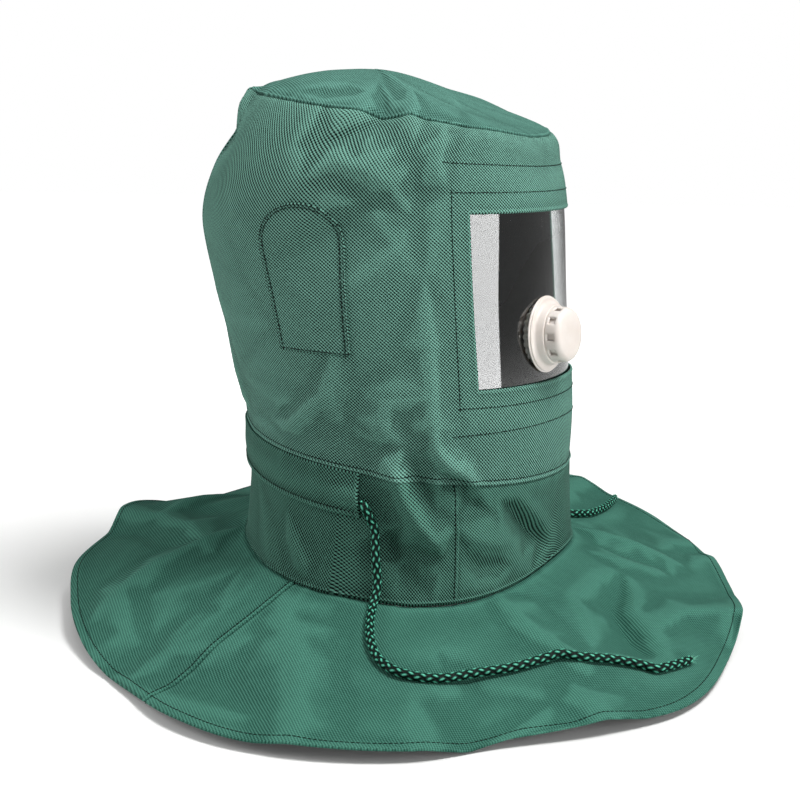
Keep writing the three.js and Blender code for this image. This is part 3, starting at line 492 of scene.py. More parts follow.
def headPlace(angle, level):
    index = np.minimum(np.floor(level), crownLevel - 1).astype(int)
    t = (level - index)[..., None]
    a, b, c, d = (sectionValues[index + k] for k in range(4))
    row = 0.5 * (2 * b + (c - a) * t + (2 * a - 5 * b + 4 * c - d) * t**2 + (3 * b - a - 3 * c + d) * t**3)
    zFront, zSide, zBack, front, back, half, squareFront, squareBack, lean = np.moveaxis(row, -1, 0)
    cos, sin = np.cos(np.radians(angle)), np.sin(np.radians(angle))
    power = 2 / np.where(cos > 0, squareFront, squareBack)
    tilt = (zFront - zBack) / 2 * cos + ((zFront + zBack) / 2 - zSide) * cos * cos
    return np.stack([
        -np.maximum(half, 0) * np.sign(sin) * np.abs(sin) ** power,
        (back - front) / 2 - np.maximum((front + back) / 2, 0) * np.sign(cos) * np.abs(cos) ** power,
        zSide + tilt - lean * sin,
    ], -1)


def hemPlace(angle):
    turned = (angle + 180) % 360 - 180
    count = len(hemAngle)
    index = np.clip(np.searchsorted(hemAngle, turned, side="right") - 1, 0, count - 1)
    at = [(index + step) % count for step in (-1, 0, 1, 2)]
    whole = [360 * np.floor_divide(index + step, count) for step in (-1, 0, 1, 2)]
    before, start, end, after = (hemAngle[i] + w for i, w in zip(at, whole))
    t = (turned - start) / (end - start)

    def through(column):
        slopeStart = (column[at[2]] - column[at[0]]) / (end - before) * (end - start)
        slopeEnd = (column[at[3]] - column[at[1]]) / (after - start) * (end - start)
        rest = 3 * t**2 - 2 * t**3
        bend = slopeStart * (t - 2 * t**2 + t**3) + slopeEnd * (t**3 - t**2)
        return column[at[1]] * (1 - rest) + column[at[2]] * rest + bend

    reach = through(hemReach)
    return np.stack([-reach * np.sin(np.radians(angle)), -reach * np.cos(np.radians(angle)), through(hemRise)], -1)


def plainPlace(angle, level):
    angle, level = np.broadcast_arrays(np.asarray(angle, float), np.asarray(level, float))
    seam = headPlace(angle, np.clip(level, 0, crownLevel))
    out = np.clip(-level, 0, 1)
    place = seam + (hemPlace(angle) - seam) * out[..., None]
    place[..., 2] = seam[..., 2] + (hemPlace(angle)[..., 2] - seam[..., 2]) * out ** hood["skirtSag"]
    return place


def plainNormal(angle, level):
    angle, level = np.broadcast_arrays(np.asarray(angle, float), np.asarray(level, float))
    high = np.minimum(level + 0.04, crownLevel)
    across = plainPlace(angle + 0.8, level) - plainPlace(angle - 0.8, level)
    up = plainPlace(angle, high) - plainPlace(angle, high - 0.08)
    normal = np.cross(up, across)
    normal /= np.maximum(np.linalg.norm(normal, axis=-1, keepdims=True), 1e-9)
    normal[level > crownLevel - 0.05] = (0, 0, 1)
    return normal


def degreeLength(angle, level):
    return np.linalg.norm(plainPlace(angle + 0.5, level) - plainPlace(angle - 0.5, level), axis=-1)


def levelLength(angle, level):
    low = np.clip(level - 0.05, -1, crownLevel - 0.1)
    return np.linalg.norm(plainPlace(angle, low + 0.1) - plainPlace(angle, low), axis=-1) / 0.1


def levelAt(height, angle):
    low, high = 0.0, 8.0
    for _ in range(30):
        middle = (low + high) / 2
        if plainPlace(angle, middle)[..., 2] < height:
            low = middle
        else:
            high = middle
    return (low + high) / 2


sillLevel = levelAt(hood["windowSill"], windowAngle)
lintelLevel = levelAt(hood["windowSill"] + hood["windowHeight"], windowAngle)
tunnelLevel = 2 - hood["tunnelDepth"] / float(levelLength(hood["tunnelMouth"], 1.5))


def frameSlack(place, angle):
    # the doubled cloth round the window stays smooth, and folds grow from its edge outward
    turned = (angle + 180) % 360 - 180
    across = np.maximum(np.abs(turned) - windowAngle, 0) * math.radians(1) * hood["headReach"]
    above = place[..., 2] - hood["windowSill"]
    up = np.maximum(-above, above - hood["windowHeight"])
    away = (np.hypot(across, np.maximum(up, 0)) - hood["lensMargin"]) / (2 * hood["lensMargin"])
    away = np.clip(away, 0, 1)
    return away * away * (3 - 2 * away)


def foldHeight(place, start, end, rise, width, crest):
    share = np.linspace(0, 1, 6)
    turn = (end[0] - start[0] + 180) % 360 - 180
    line = plainPlace(start[0] + turn * share, start[1] + (end[1] - start[1]) * share)
    away = np.full(place.shape[:-1], np.inf)
    along = np.zeros(place.shape[:-1])
    for step, (a, b) in enumerate(zip(line[:-1], line[1:])):
        t = np.clip((place - a) @ (b - a) / max((b - a) @ (b - a), 1e-9), 0, 1)
        distance = np.linalg.norm(place - a - t[..., None] * (b - a), axis=-1)
        nearer = distance < away
        along = np.where(nearer, (step + t) / 5, along)
        away = np.where(nearer, distance, away)
    slope = (np.hypot(away, crest) - crest) / (width * hood["foldWidth"] * hood["foldSlope"])
    taper = np.sin(np.pi * np.clip(along, 0.03, 0.97)) ** hood["foldTaper"]
    return rise * hood["foldRise"] * taper * np.exp(-slope)


creased = {
    "unit": 2.06, "cell": 1.0, "apart": 52.0, "jitter": 0.4, "keepOff": 16.0, "counter": 0.04,
    "headSlack": 1.0, "neckSlack": 1.1, "skirtSlack": 1.7, "crownSlack": 1.1, "rounding": 1, "seed": 23,
    "cordReach": 15.0, "flankGap": 11.0, "margin": 40,
    # how much higher the listed creases are made at these levels
    "shareLevels": (-1, 0, 2.2, 3, 7.5, 8.5), "share": (1.3, 1.6, 1.6, 1.0, 1.05, 0.8),
    # where the height of the loose corners changes: skirt, neck, head and crown
    "slackLevels": (-1, -0.1, 0.2, 1.9, 3, 7.8, 8.4, 9.4),
}
levelGrid = np.linspace(-1, crownLevel, 1101)
levelRun = plainPlace(np.full_like(levelGrid, 60.0), levelGrid)
levelRun = np.concatenate([[0], np.cumsum(np.linalg.norm(np.diff(levelRun, axis=0), axis=1))])


def creaseCorners():
    # every corner of the creased cloth, on the cloth's plan: (across, up, out), and the crease lines
    corners, lines, flanks = [], [], []
    for spots, left, right in sideCreases + farCreases:
        spots = np.array(spots, float)
        spots[:, 2] *= np.interp(spots[:, 1], creased["shareLevels"], creased["share"])
        wide = degreeLength(spots[:, 0], np.minimum(spots[:, 1], 9))
        plan = np.stack([spots[:, 0] * creased["unit"], np.interp(spots[:, 1], levelGrid, levelRun)], 1)
        stretch = wide / creased["unit"]
        ahead = np.gradient(plan, axis=0) * np.stack([stretch, np.ones_like(stretch)], 1)
        ahead /= np.linalg.norm(ahead, axis=1, keepdims=True)
        aside = np.stack([ahead[:, 1] / stretch, -ahead[:, 0]], 1)
        first = len(corners)
        corners += [(*at, out) for at, out in zip(plan, spots[:, 2])]
        lines += [(first + k, first + k + 1) for k in range(len(spots) - 1)]
        for at, side, out in zip(plan, aside, spots[:, 2]):
            if out:
                flanks += [(*(at + side * left), -out * creased["counter"], first)]
                flanks += [(*(at - side * right), -out * creased["counter"], first)]
    # a flank that would end on another crease is left out, so its facet runs on to that crease
    ends = np.array([(*corners[a][:2], *corners[b][:2], a) for a, b in lines])
    start, along = ends[:, :2], ends[:, 2:4] - ends[:, :2]
    kept = []
    for spot in flanks:
        share = ((spot[:2] - start) * along).sum(1) / (along**2).sum(1)
        gap = np.linalg.norm(start + along * np.clip(share, 0, 1)[:, None] - spot[:2], axis=1)
        clear = all(math.dist(spot[:2], other[:2]) > creased["flankGap"] for other in kept)
        if clear and gap.min() > creased["flankGap"] * 0.6:
            kept.append(spot[:3])
    return np.array(corners + kept), lines


def creaseTable():
    # flat facets between the corners, and between loose ones at seeded random places where nothing
    # is listed, so most of the small folds are nobody's observation
    corners, lines = creaseCorners()
    random = np.random.default_rng(creased["seed"])
    turn, top = 360 * creased["unit"], levelRun[-1]
    columns, rows = round(turn / creased["apart"]), round(top / creased["apart"])
    loose = []
    for row in range(rows + 1):
        for column in range(columns):
            shift = random.uniform(-creased["jitter"], creased["jitter"], 2)
            out = random.normal()
            across = (column + 0.5 * (row % 2) + shift[0]) / columns * turn - turn / 2
            up = np.clip((row + shift[1] * (0 < row < rows)) / rows * top, 0, top)
            level = np.interp(up, levelRun, levelGrid)
            amount = np.interp(level, creased["slackLevels"], (
                creased["skirtSlack"], creased["skirtSlack"], creased["neckSlack"], creased["neckSlack"],
                creased["headSlack"], creased["headSlack"], creased["crownSlack"], 0,
            ))
            away = np.abs(corners[:, :2] - (across, up))
            away[:, 0] = np.minimum(away[:, 0], turn - away[:, 0])
            if np.hypot(*away.T).min() > creased["keepOff"]:
                loose.append((across, up, out * amount))
    everything = np.vstack([corners, loose])
    total = len(everything)
    lines = [(a + whole * total, b + whole * total) for a, b in lines for whole in range(3)]
    everything = np.vstack([everything + (shift, 0, 0) for shift in (0, -turn, turn)])
    spots = [Vector(point[:2]) for point in everything]
    made = delaunay_2d_cdt(spots, lines, [], 0, 1e-3)
    height = [np.mean(everything[list(source), 2]) if source else 0.0 for source in made[3]]
    cell = creased["cell"]
    margin = creased["margin"] * cell
    table = np.zeros((int(top / cell) + 2, int((turn + 2 * margin) / cell) + 2))
    for face in made[2]:
        points = np.array([made[0][k] for k in face]) + (turn / 2 + margin, 0)
        low = np.maximum(np.floor(points.min(0) / cell).astype(int), 0)
        high = np.minimum(np.ceil(points.max(0) / cell).astype(int) + 1, (table.shape[1], table.shape[0]))
        if (high <= low).any():
            continue
        x, y = np.meshgrid(np.arange(low[0], high[0]) * cell, np.arange(low[1], high[1]) * cell)
        (ax, ay), (bx, by), (cx, cy) = points
        area = (bx - ax) * (cy - ay) - (cx - ax) * (by - ay)
        if abs(area) < 1e-9:
            continue
        b = ((x - ax) * (cy - ay) - (cx - ax) * (y - ay)) / area
        c = ((bx - ax) * (y - ay) - (x - ax) * (by - ay)) / area
        inside = (b > -1e-6) & (c > -1e-6) & (b + c < 1 + 1e-6)
        flat = height[face[0]] * (1 - b - c) + height[face[1]] * b + height[face[2]] * c
        part = table[low[1]:high[1], low[0]:high[0]]
        part[inside] = flat[inside]
    return blurred(table, creased["rounding"])


def blurred(values, reach):
    for axis in (0, 1):
        first, last = np.take(values, [0], axis), np.take(values, [-1], axis)
        padded = np.concatenate([np.repeat(first, reach + 1, axis), values, np.repeat(last, reach, axis)], axis)
        run = np.cumsum(padded, axis)
        size = values.shape[axis]
        high = np.take(run, range(2 * reach + 1, 2 * reach + 1 + size), axis)
        low = np.take(run, range(size), axis)
        values = (high - low) / (2 * reach + 1)
    return values


creaseHeights = creaseTable()


def creaseAt(angle, level):
    cell = creased["cell"]
    turned = (angle + 180) % 360
    x = turned * creased["unit"] / cell + creased["margin"]
    y = np.interp(level, levelGrid, levelRun) / cell
    i = np.clip(np.floor(x).astype(int), 0, creaseHeights.shape[1] - 2)
    j = np.clip(np.floor(y).astype(int), 0, creaseHeights.shape[0] - 2)
    u, v = x - i, y - j
    low = creaseHeights[j, i] * (1 - u) + creaseHeights[j, i + 1] * u
    high = creaseHeights[j + 1, i] * (1 - u) + creaseHeights[j + 1, i + 1] * u
    return low * (1 - v) + high * v


noiseTable = np.random.default_rng(11).uniform(-1, 1, (64, 64))


def softNoise(x, y, wrap=64):
    # smooth random hills, one to a unit, that repeat after wrap units along x
    i, j = np.floor(x).astype(int), np.floor(y).astype(int)
    u, v = x - i, y - j
    u, v = u * u * (3 - 2 * u), v * v * (3 - 2 * v)

    def corner(a, b):
        return noiseTable[(a % wrap) % 64, b % 64]

    low = corner(i, j) * (1 - u) + corner(i + 1, j) * u
    high = corner(i, j + 1) * (1 - u) + corner(i + 1, j + 1) * u
    return low * (1 - v) + high * v


slack = {
    "broad": 0.7, "broadCells": 8, "broadTall": 70.0, "fine": 0.03, "fineCells": 34, "fineTall": 17.0,
    "skirtBroad": 1.3, "skirtFine": 0.03, "pucker": 0.34, "puckerCells": 110, "puckerReach": 6.0,
}


def slackAt(angle, level, place):
    # the soft unevenness of cloth that nothing holds flat
    turn = (angle % 360) / 360
    run = np.where(level < 0, level * 150, place[..., 2])
    cells, fineCells = slack["broadCells"], slack["fineCells"]
    broad = softNoise(turn * cells + run / 90, run / slack["broadTall"] + 7, cells)
    fine = softNoise(turn * fineCells - run / 30, run / slack["fineTall"] + 19, fineCells)
    onSkirt = np.clip(-level * 6, 0, 1)
    broadRise = slack["broad"] * (1 - onSkirt) + slack["skirtBroad"] * onSkirt
    fineRise = slack["fine"] * (1 - onSkirt) + slack["skirtFine"] * onSkirt
    top = np.clip((crownLevel - level) / 1.2, 0, 1)
    return (broad * broadRise + fine * fineRise) * top


def puckerAt(angle, distance):
    # little gathers that a row of stitches pulls into the cloth beside it
    turn = (angle % 360) / 360
    wave = softNoise(turn * slack["puckerCells"], distance * 0 + 3.5, slack["puckerCells"])
    return slack["pucker"] * wave * np.exp(-np.abs(distance) / slack["puckerReach"])


def besideCord(place):
    # 1 under a drawcord, fading out beside it
    spots = place.reshape(-1, 3) - (0, 0, crownInside)
    nearest = np.full(len(spots), np.inf)
    for path in cordPaths:
        box = (spots > path.min(0) - 60).all(1) & (spots < path.max(0) + 60).all(1)
        if box.any():
            gap = spots[box][:, None] - path[None]
            nearest[box] = np.minimum(nearest[box], np.sqrt(np.einsum("ijk,ijk->ij", gap, gap)).min(1))
    away = np.maximum(nearest - drawcord["diameter"], 0) / creased["cordReach"]
    return np.exp(-away**2).reshape(place.shape[:-1])


def drape(angle, level):
    place = plainPlace(angle, level)
    rise = slackAt(angle, level, place) + creaseAt(angle, level)
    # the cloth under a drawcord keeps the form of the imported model, which the cord was laid on
    under = besideCord(place)
    if under.max() > 1e-3:
        laid = np.zeros_like(rise)
        for start, end, height, width in mainFolds:
            laid = laid + foldHeight(place, start, end, height, width, hood["foldCrest"])
        rise = rise * (1 - under) + laid * under
    for seamLevel in (0, 2, 8):
        rise = rise + puckerAt(angle, (level - seamLevel) * levelLength(angle, level)) * (1 - under)
    return place, rise * frameSlack(place, angle)


def clothSurface(angle, level, off=0.0):
    angle, level = np.broadcast_arrays(np.asarray(angle, float), np.asarray(level, float))
    place, rise = drape(angle, level)
    place = place + plainNormal(angle, level) * (rise + off)[..., None]
    place[..., 2] -= crownInside
    return place


def planUv(angle, level, place):
    # cloth cut flat: round the head and neck one way, and up along the cloth the other
    turned = angle * math.radians(1) * hood["headReach"]
    return np.stack([turned, np.interp(level, levelGrid, levelRun)], -1)


def flatUv(angle, level, place):
    return place[..., :2].copy()


def gussetUv(angle, level, place):
    strip = level <= 8
    edge = clothSurface(angle, np.full_like(level, 8.0))
    down = np.stack([edge[..., 0], edge[..., 1] + edge[..., 2] - place[..., 2]], -1)
    return np.where(strip[..., None], down, place[..., :2])


weave = {
    # oxford weave, drawn coarser than real: 1.16 mm between threads so that it shows, where about
    # 0.6 mm is assumed for such cloth
    "thread": 1.16, "height": 0.2, "wander": 0.1, "diagonal": 0.3,
}
canvasLooks = {
    "wall": {"deep": "#030f0c", "light": "#73a797", "contrast": 1.8, "sheen": 0.0},
    "crown": {"deep": "#0f3229", "light": "#65998b", "contrast": 0.9, "sheen": 0.02},
    # the band is the same canvas as the wall, drawn darker: painted shade of the head over the neck
    "band": {"deep": "#020b08", "light": "#568878", "contrast": 1.9, "sheen": 0.0},
    "skirt": {"deep": "#143d33", "light": "#4f8877", "contrast": 0.9, "sheen": 0.02},
}


def canvasMaterial(piece):
    # dyed polyester oxford, woven: matt, with pale crests of thread and a soft fibre sheen
    look = canvasLooks[piece]
    material, tree, shader = newMaterial("dyed oxford canvas, " + piece)
    spot = addNode(tree, "ShaderNodeUVMap", uv_map="cloth").outputs[0]
    links = {"Vector": spot, "Scale": 220.0, "Detail": 1.0}
    drift = addNode(tree, "ShaderNodeTexNoise", links).outputs["Color"]
    wander = (weave["wander"] * mm * 4,) * 3
    links = {0: drift, 1: wander, 2: spot}
    moved = addNode(tree, "ShaderNodeVectorMath", links, operation="MULTIPLY_ADD").outputs[0]
    turns = (math.pi / (weave["thread"] * mm),) * 3
    turned = addNode(tree, "ShaderNodeVectorMath", {0: moved, 1: turns}, operation="MULTIPLY").outputs[0]
    waves = addNode(tree, "ShaderNodeVectorMath", {0: turned}, operation="SINE").outputs[0]
    across = addNode(tree, "ShaderNodeSeparateXYZ", {0: waves}).outputs
    shifted = addNode(tree, "ShaderNodeVectorMath", {0: turned}, operation="COSINE").outputs[0]
    along = addNode(tree, "ShaderNodeSeparateXYZ", {0: shifted}).outputs
    # the product of the sines is the basket of threads, the other makes one of its diagonals stronger
    diagonal = addNode(tree, "ShaderNodeMath", {0: along[0], 1: along[1]}, operation="MULTIPLY").outputs[0]
    links = {0: diagonal, 1: weave["diagonal"]}
    leaning = addNode(tree, "ShaderNodeMath", links, operation="MULTIPLY").outputs[0]
    links = {0: across[0], 1: across[1], 2: leaning}
    crest = addNode(tree, "ShaderNodeMath", links, operation="MULTIPLY_ADD").outputs[0]
    # a per-point tone that lightens ridges and darkens hollows: partly rub wear, partly a painted highlight and painted
    # shade
    wearAndShade = addNode(tree, "ShaderNodeAttribute", attribute_name="wearAndShade").outputs["Fac"]
    broad = addNode(tree, "ShaderNodeTexNoise", {"Vector": spot, "Scale": 14.0, "Detail": 4.0}).outputs["Fac"]
    patchy = addNode(tree, "ShaderNodeTexNoise", {"Vector": spot, "Scale": 160.0, "Detail": 2.0}).outputs["Fac"]
    shade = 0.5 - (0.6 + 0.24 + 0.16) / 2  # so that the three next parts leave the middle where it is
    for part, amount in ((crest, look["contrast"] / 2), (wearAndShade, 0.6), (broad, 0.24), (patchy, 0.16)):
        links = {0: part, 1: amount, 2: shade}
        shade = addNode(tree, "ShaderNodeMath", links, operation="MULTIPLY_ADD").outputs[0]
    stops = [(0.0, look["deep"]), (1.0, look["light"])]
    colour = addNode(tree, "ShaderNodeValToRGB", {"Fac": shade}, stops).outputs["Color"]
    rough = addNode(tree, "ShaderNodeMath", {0: crest, 1: -0.06, 2: 0.8}, operation="MULTIPLY_ADD").outputs[0]
    links = {"Height": crest, "Strength": 0.8, "Distance": weave["height"] * mm}
    bump = addNode(tree, "ShaderNodeBump", links)
    tree.links.new(colour, shader.inputs["Base Color"])
    tree.links.new(rough, shader.inputs["Roughness"])
    tree.links.new(bump.outputs[0], shader.inputs["Normal"])
    shader.inputs["Specular IOR Level"].default_value = 0.1
    shader.inputs["Sheen Weight"].default_value = look["sheen"]
    shader.inputs["Sheen Roughness"].default_value = 0.45
    shader.inputs["Sheen Tint"].default_value = linear("#bfe0d6")
    return material


def coatedBackMaterial():
    # the back of the cloth is coated: a dark even film
    material, tree, shader = newMaterial("polyurethane coating on canvas")
    spot = addNode(tree, "ShaderNodeUVMap", uv_map="cloth").outputs[0]
    cloudy = addNode(tree, "ShaderNodeTexNoise", {"Vector": spot, "Scale": 30.0, "Detail": 3.0}).outputs["Fac"]
    grain = addNode(tree, "ShaderNodeTexNoise", {"Vector": spot, "Scale": 900.0, "Detail": 2.0}).outputs["Fac"]
    stops = [(0.25, "#191e1d"), (0.75, "#2c3533")]
    colour = addNode(tree, "ShaderNodeValToRGB", {"Fac": cloudy}, stops).outputs["Color"]
    bump = addNode(tree, "ShaderNodeBump", {"Height": grain, "Strength": 0.2, "Distance": 0.00006})
    tree.links.new(colour, shader.inputs["Base Color"])
    tree.links.new(bump.outputs[0], shader.inputs["Normal"])
    shader.inputs["Roughness"].default_value = 0.62
    return material


canvas = {piece: canvasMaterial(piece) for piece in canvasLooks}
coatedBack = coatedBackMaterial()
print("cloth materials are made")

grid = {
    "column": 1.9, "row": 2.4, "skirtColumn": 3.4, "skirtRow": 2.8,
    "beside": (0.0, 0.45, 1.0, 1.7, 2.5, 3.4, 4.6), "rim": 0.42,
    # how far a height above its surroundings lightens the cloth and a hollow below them darkens it, and its lowest and
    # highest: partly rub wear, partly a painted highlight on ridges and painted shade in hollows
    "wearAndShade": 1.2, "wearAndShadeReach": 4, "wearAndShadeLow": -0.16, "wearAndShadeHigh": 0.3,
}


def steps(start, end, spacing, edges):
    # even steps, with closer ones beside each seam or edge
    even = np.linspace(start, end, max(int(round((end - start) / spacing)), 1) + 1)
    beside = [edge + sign * away for edge in edges for away in grid["beside"] for sign in (-1, 1)]
    clear = [value for value in even if all(abs(value - edge) > grid["beside"][-1] + 0.6 for edge in edges)]
    inside = [value for value in beside if start - 1e-6 <= value <= end + 1e-6]
    found = sorted([*clear, *inside, start, end])
    return np.array([value for at, value in enumerate(found) if at == 0 or value - found[at - 1] > 1e-4])


def rowSteps(low, high, spacing, edges):
    start, end, *besides = (float(np.interp(level, levelGrid, levelRun)) for level in (low, high, *edges))
    runs = steps(start, end, spacing, besides)
    found = np.interp(runs, levelRun, levelGrid)
    for level in (low, high, *edges):
        found[np.abs(found - level).argmin()] = level
    return found


def columnSteps(left, right, spacing, edges):
    unit = math.radians(1) * hood["headReach"]
    found = steps(left * unit, right * unit, spacing, [edge * unit for edge in edges]) / unit
    for angle in (left, right, *edges):
        found[np.abs(found - angle).argmin()] = angle
    return found


def edgeRise(angle, level, edges):
    # how the cloth rises or sinks beside its seams: a turned edge stands up, its neighbour sinks
    rise = np.zeros(angle.shape)
    for kind, place, height, width in edges:
        if kind == "window":
            across = np.maximum(np.abs(angle) - windowAngle, 0) * degreeLength(angle, level)
            past = np.maximum(np.maximum(sillLevel - level, level - lintelLevel), 0)
            up = past * levelLength(angle, level)
            away = np.hypot(across, up)
        elif kind == "angle":
            away = np.abs(angle - place) * degreeLength(angle, level)
        else:
            away = np.abs(level - place) * levelLength(angle, level)
        if height > 0:
            step = np.clip((away - width) / 1.0, 0, 1)
            ridge = height * (1 - step * step * (3 - 2 * step))
            rise += ridge - 0.7 * height * np.exp(-(away / 0.6) ** 2)
        else:
            rise += height * np.exp(-(away / width) ** 2)
    return rise


def wallMesh(name, outer, inner, uv, wearAndShade, materials, keep=None, wrap=False):
    # a closed wall between two grids of points, with a rounded rim wherever a cell has no neighbour
    rows, cols = outer.shape[:2]
    kept = np.ones((rows - 1, cols - 1), bool) if keep is None else keep
    number = np.arange(rows * cols).reshape(rows, cols)
    a, b, c, d = number[:-1, :-1][kept], number[:-1, 1:][kept], number[1:, 1:][kept], number[1:, :-1][kept]
    shift = rows * cols
    outside = np.stack([a, b, c, d], 1)
    inside = np.stack([a, d, c, b], 1) + shift
    points = outer.reshape(-1, 3)
    neighbour = np.zeros((rows + 1, cols + 1), bool)
    neighbour[1:-1, 1:-1] = kept
    if wrap:
        neighbour[1:-1, 0], neighbour[1:-1, -1] = kept[:, -1], kept[:, 0]
    rim = []
    for j, i in zip(*np.nonzero(kept)):
        low, high = (number[j, i], number[j, i + 1]), (number[j + 1, i], number[j + 1, i + 1])
        for empty, first, second, backFirst in (
            (not neighbour[j, i + 1], low[0], low[1], high[0]), (not neighbour[j + 2, i + 1], high[1], high[0], low[1]),
            (not neighbour[j + 1, i], high[0], low[0], high[1]), (not neighbour[j + 1, i + 2], low[1], high[1], low[0]),
        ):
            if empty and np.linalg.norm(points[first] - points[second]) > 1e-5:
                rim.append((first, second, backFirst))
    outward = np.zeros_like(points)
    for first, second, back in rim:
        away = points[first] - points[back]
        away /= max(np.linalg.norm(away), 1e-9)
        outward[first] += away
        outward[second] += away
    edge = sorted({vertex for first, second, _ in rim for vertex in (first, second)})
    spot = {vertex: 2 * shift + at for at, vertex in enumerate(edge)}
    backs = inner.reshape(-1, 3)
    span = np.linalg.norm(points[edge] - backs[edge], axis=1, keepdims=True) if edge else np.zeros((0, 1))
    push = outward[edge] / np.maximum(np.linalg.norm(outward[edge], axis=1, keepdims=True), 1e-9)
    middle = (points[edge] + backs[edge]) / 2 + push * span * grid["rim"]
    strips = []
    for first, second, _ in rim:
        strips.append((second, first, spot[first], spot[second]))
        strips.append((spot[second], spot[first], first + shift, second + shift))
    faces = np.vstack([outside, inside, np.array(strips).reshape(-1, 4)])
    vertices = np.vstack([points, backs, middle])
    corners = vertices[faces]
    halves = np.cross(corners[:, 1], corners[:, 2]) + np.cross(corners[:, 2], corners[:, 3])
    volume = np.einsum("ij,ij->i", corners[:, 0], halves).sum()
    if volume < 0:
        faces = faces[:, ::-1]
    obj = meshObject(name, vertices * mm, faces, materials)
    used = np.concatenate([np.zeros(len(outside)), np.ones(len(inside)), np.zeros(len(strips))]).astype(int)
    obj.data.polygons.foreach_set("material_index", used)
    flat = uv.reshape(-1, 2) * mm
    flat = np.vstack([flat, flat, flat[edge]])
    corner = np.empty(len(obj.data.loops), dtype=int)
    obj.data.loops.foreach_get("vertex_index", corner)
    obj.data.uv_layers.new(name="cloth").data.foreach_set("uv", flat[corner].ravel())
    # the per-point tone, partly rub wear and partly painted highlight and painted shade, goes to every copy of each
    # point
    shade = np.clip(wearAndShade.ravel(), 0, 1)
    layer = obj.data.attributes.new("wearAndShade", "FLOAT", "POINT")
    layer.data.foreach_set("value", np.concatenate([shade, shade, shade[edge]]))
    return smooth(merged(obj))


def clothPiece(name, columns, rows, uvOf, edges, materials, keep=None, wrap=False, base=None, thickness=None):
    angle, level = np.meshgrid(columns, rows)
    place, rise = drape(angle, level)
    rise = rise + edgeRise(angle, level, edges) + (0 if base is None else base(angle, level))
    normal = plainNormal(angle, level)
    outer = place + normal * rise[..., None]
    inner = place + normal * (rise - (thickness or hood["cloth"]))[..., None]
    outer[..., 2] -= crownInside
    inner[..., 2] -= crownInside
    # colour lighter where the cloth stands above its surroundings and darker where it lies below: partly rub wear,
    # partly a painted highlight on ridges and painted shade in hollows and creases
    above = rise - blurred(rise, grid["wearAndShadeReach"])
    wearAndShade = 0.5 + np.clip(above * grid["wearAndShade"], grid["wearAndShadeLow"], grid["wearAndShadeHigh"])
    if keep is not None:
        keep = keep(*np.meshgrid(*((values[:-1] + values[1:]) / 2 for values in (columns, rows))))
    return wallMesh(name, outer, inner, uvOf(angle, level, outer), wearAndShade, materials, keep, wrap)


def seamGapAt(angle, level):
    # half of the gap at a seam, in degrees and in levels
    half = hood["seamGap"] / 2
    return half / float(degreeLength(angle, level)), half / float(levelLength(angle, level))


def facePanel():
    edge = hood["backSeam"] - seamGapAt(hood["backSeam"], 5.0)[0]
    columns = columnSteps(-edge, edge, grid["column"], [-edge, -windowAngle, windowAngle, edge])
    low, high = 2 + seamGapAt(60, 2)[1], 8 - seamGapAt(60, 8)[1]
    rows = rowSteps(low, high, grid["row"], [low, sillLevel, lintelLevel, high])
    edges = [
        ("level", 2, 0.8, 1.7), ("level", 8, -0.9, 1.8), ("angle", -hood["backSeam"], -0.5, 2.0),
        ("angle", hood["backSeam"], -0.5, 2.0), ("window", 0, 0.5, 1.2),
    ]

    def closed(angle, level):
        return ~((np.abs(angle) < windowAngle) & (level > sillLevel) & (level < lintelLevel))

    return clothPiece("face_cloth", columns, rows, planUv, edges, [canvas["wall"], coatedBack], closed)


def crownGusset():
    # the roof of the hood with the strip down its back, in one piece
    seam, back = hood["backSeam"], 360 - hood["backSeam"]
    side, end = seamGapAt(seam, 5.0)[0], seamGapAt(60, 8)[1]
    lowest = 2 + seamGapAt(60, 2)[1]
    columns = columnSteps(-seam, back, grid["column"], [-seam, seam + side, back - side, back])
    rows = rowSteps(lowest, crownLevel, grid["row"], [lowest, 8 + end])

    def inPiece(angle, level):
        return (level > 8) | ((angle > seam + side) & (angle < back - side))

    def base(angle, level):
        # the strip has side seams and the roof has its round one
        seams = [("angle", seam, 0.7, 1.8), ("angle", back, 0.7, 1.8)]
        strip = np.clip((8 - level) * 12, 0, 1) * edgeRise(angle, level, seams)
        inside = np.clip((angle - seam) / 3, 0, 1) * np.clip((back - angle) / 3, 0, 1)
        return strip + edgeRise(angle, level, [("level", 8 + end, 0.5, 1.2)]) * (1 - inside)

    return clothPiece(
        "crown_cloth", columns, rows, gussetUv, [("level", 2, -0.5, 2.0)],
        [canvas["crown"], coatedBack], inPiece, True, base,
    )


def neckBand(name, left, right, ridge):
    side = seamGapAt(left, 1.0)[0]
    low, high = seamGapAt(60, 0)[1], 2 - seamGapAt(60, 2)[1]
    columns = columnSteps(left + side, right - side, grid["column"], [left + side, right - side])
    rows = rowSteps(low, high, grid["row"], [low, high])
    edges = [
        ("level", 2, -0.7, 1.6), ("level", 0, 1.1, 1.4),
        ("angle", left, ridge, 1.6), ("angle", right, ridge, 1.6),
    ]
    return clothPiece(name, columns, rows, planUv, edges, [canvas["band"], coatedBack])


def skirtPanel(name, left, right, ridge):
    side = seamGapAt(left, -0.5)[0]
    high = -seamGapAt(60, -0.02)[1]
    columns = columnSteps(left + side, right - side, grid["skirtColumn"] * 0.45, [left + side, right - side])
    rows = rowSteps(-1.0, high, grid["skirtRow"], [-1.0, high])
    edges = [
        ("level", 0, -1.2, 1.8), ("level", -1, 0.3, 7.0),
        ("angle", left, ridge, 1.6), ("angle", right, ridge, 1.6),
    ]
    return clothPiece(name, columns, rows, flatUv, edges, [canvas["skirt"], coatedBack])


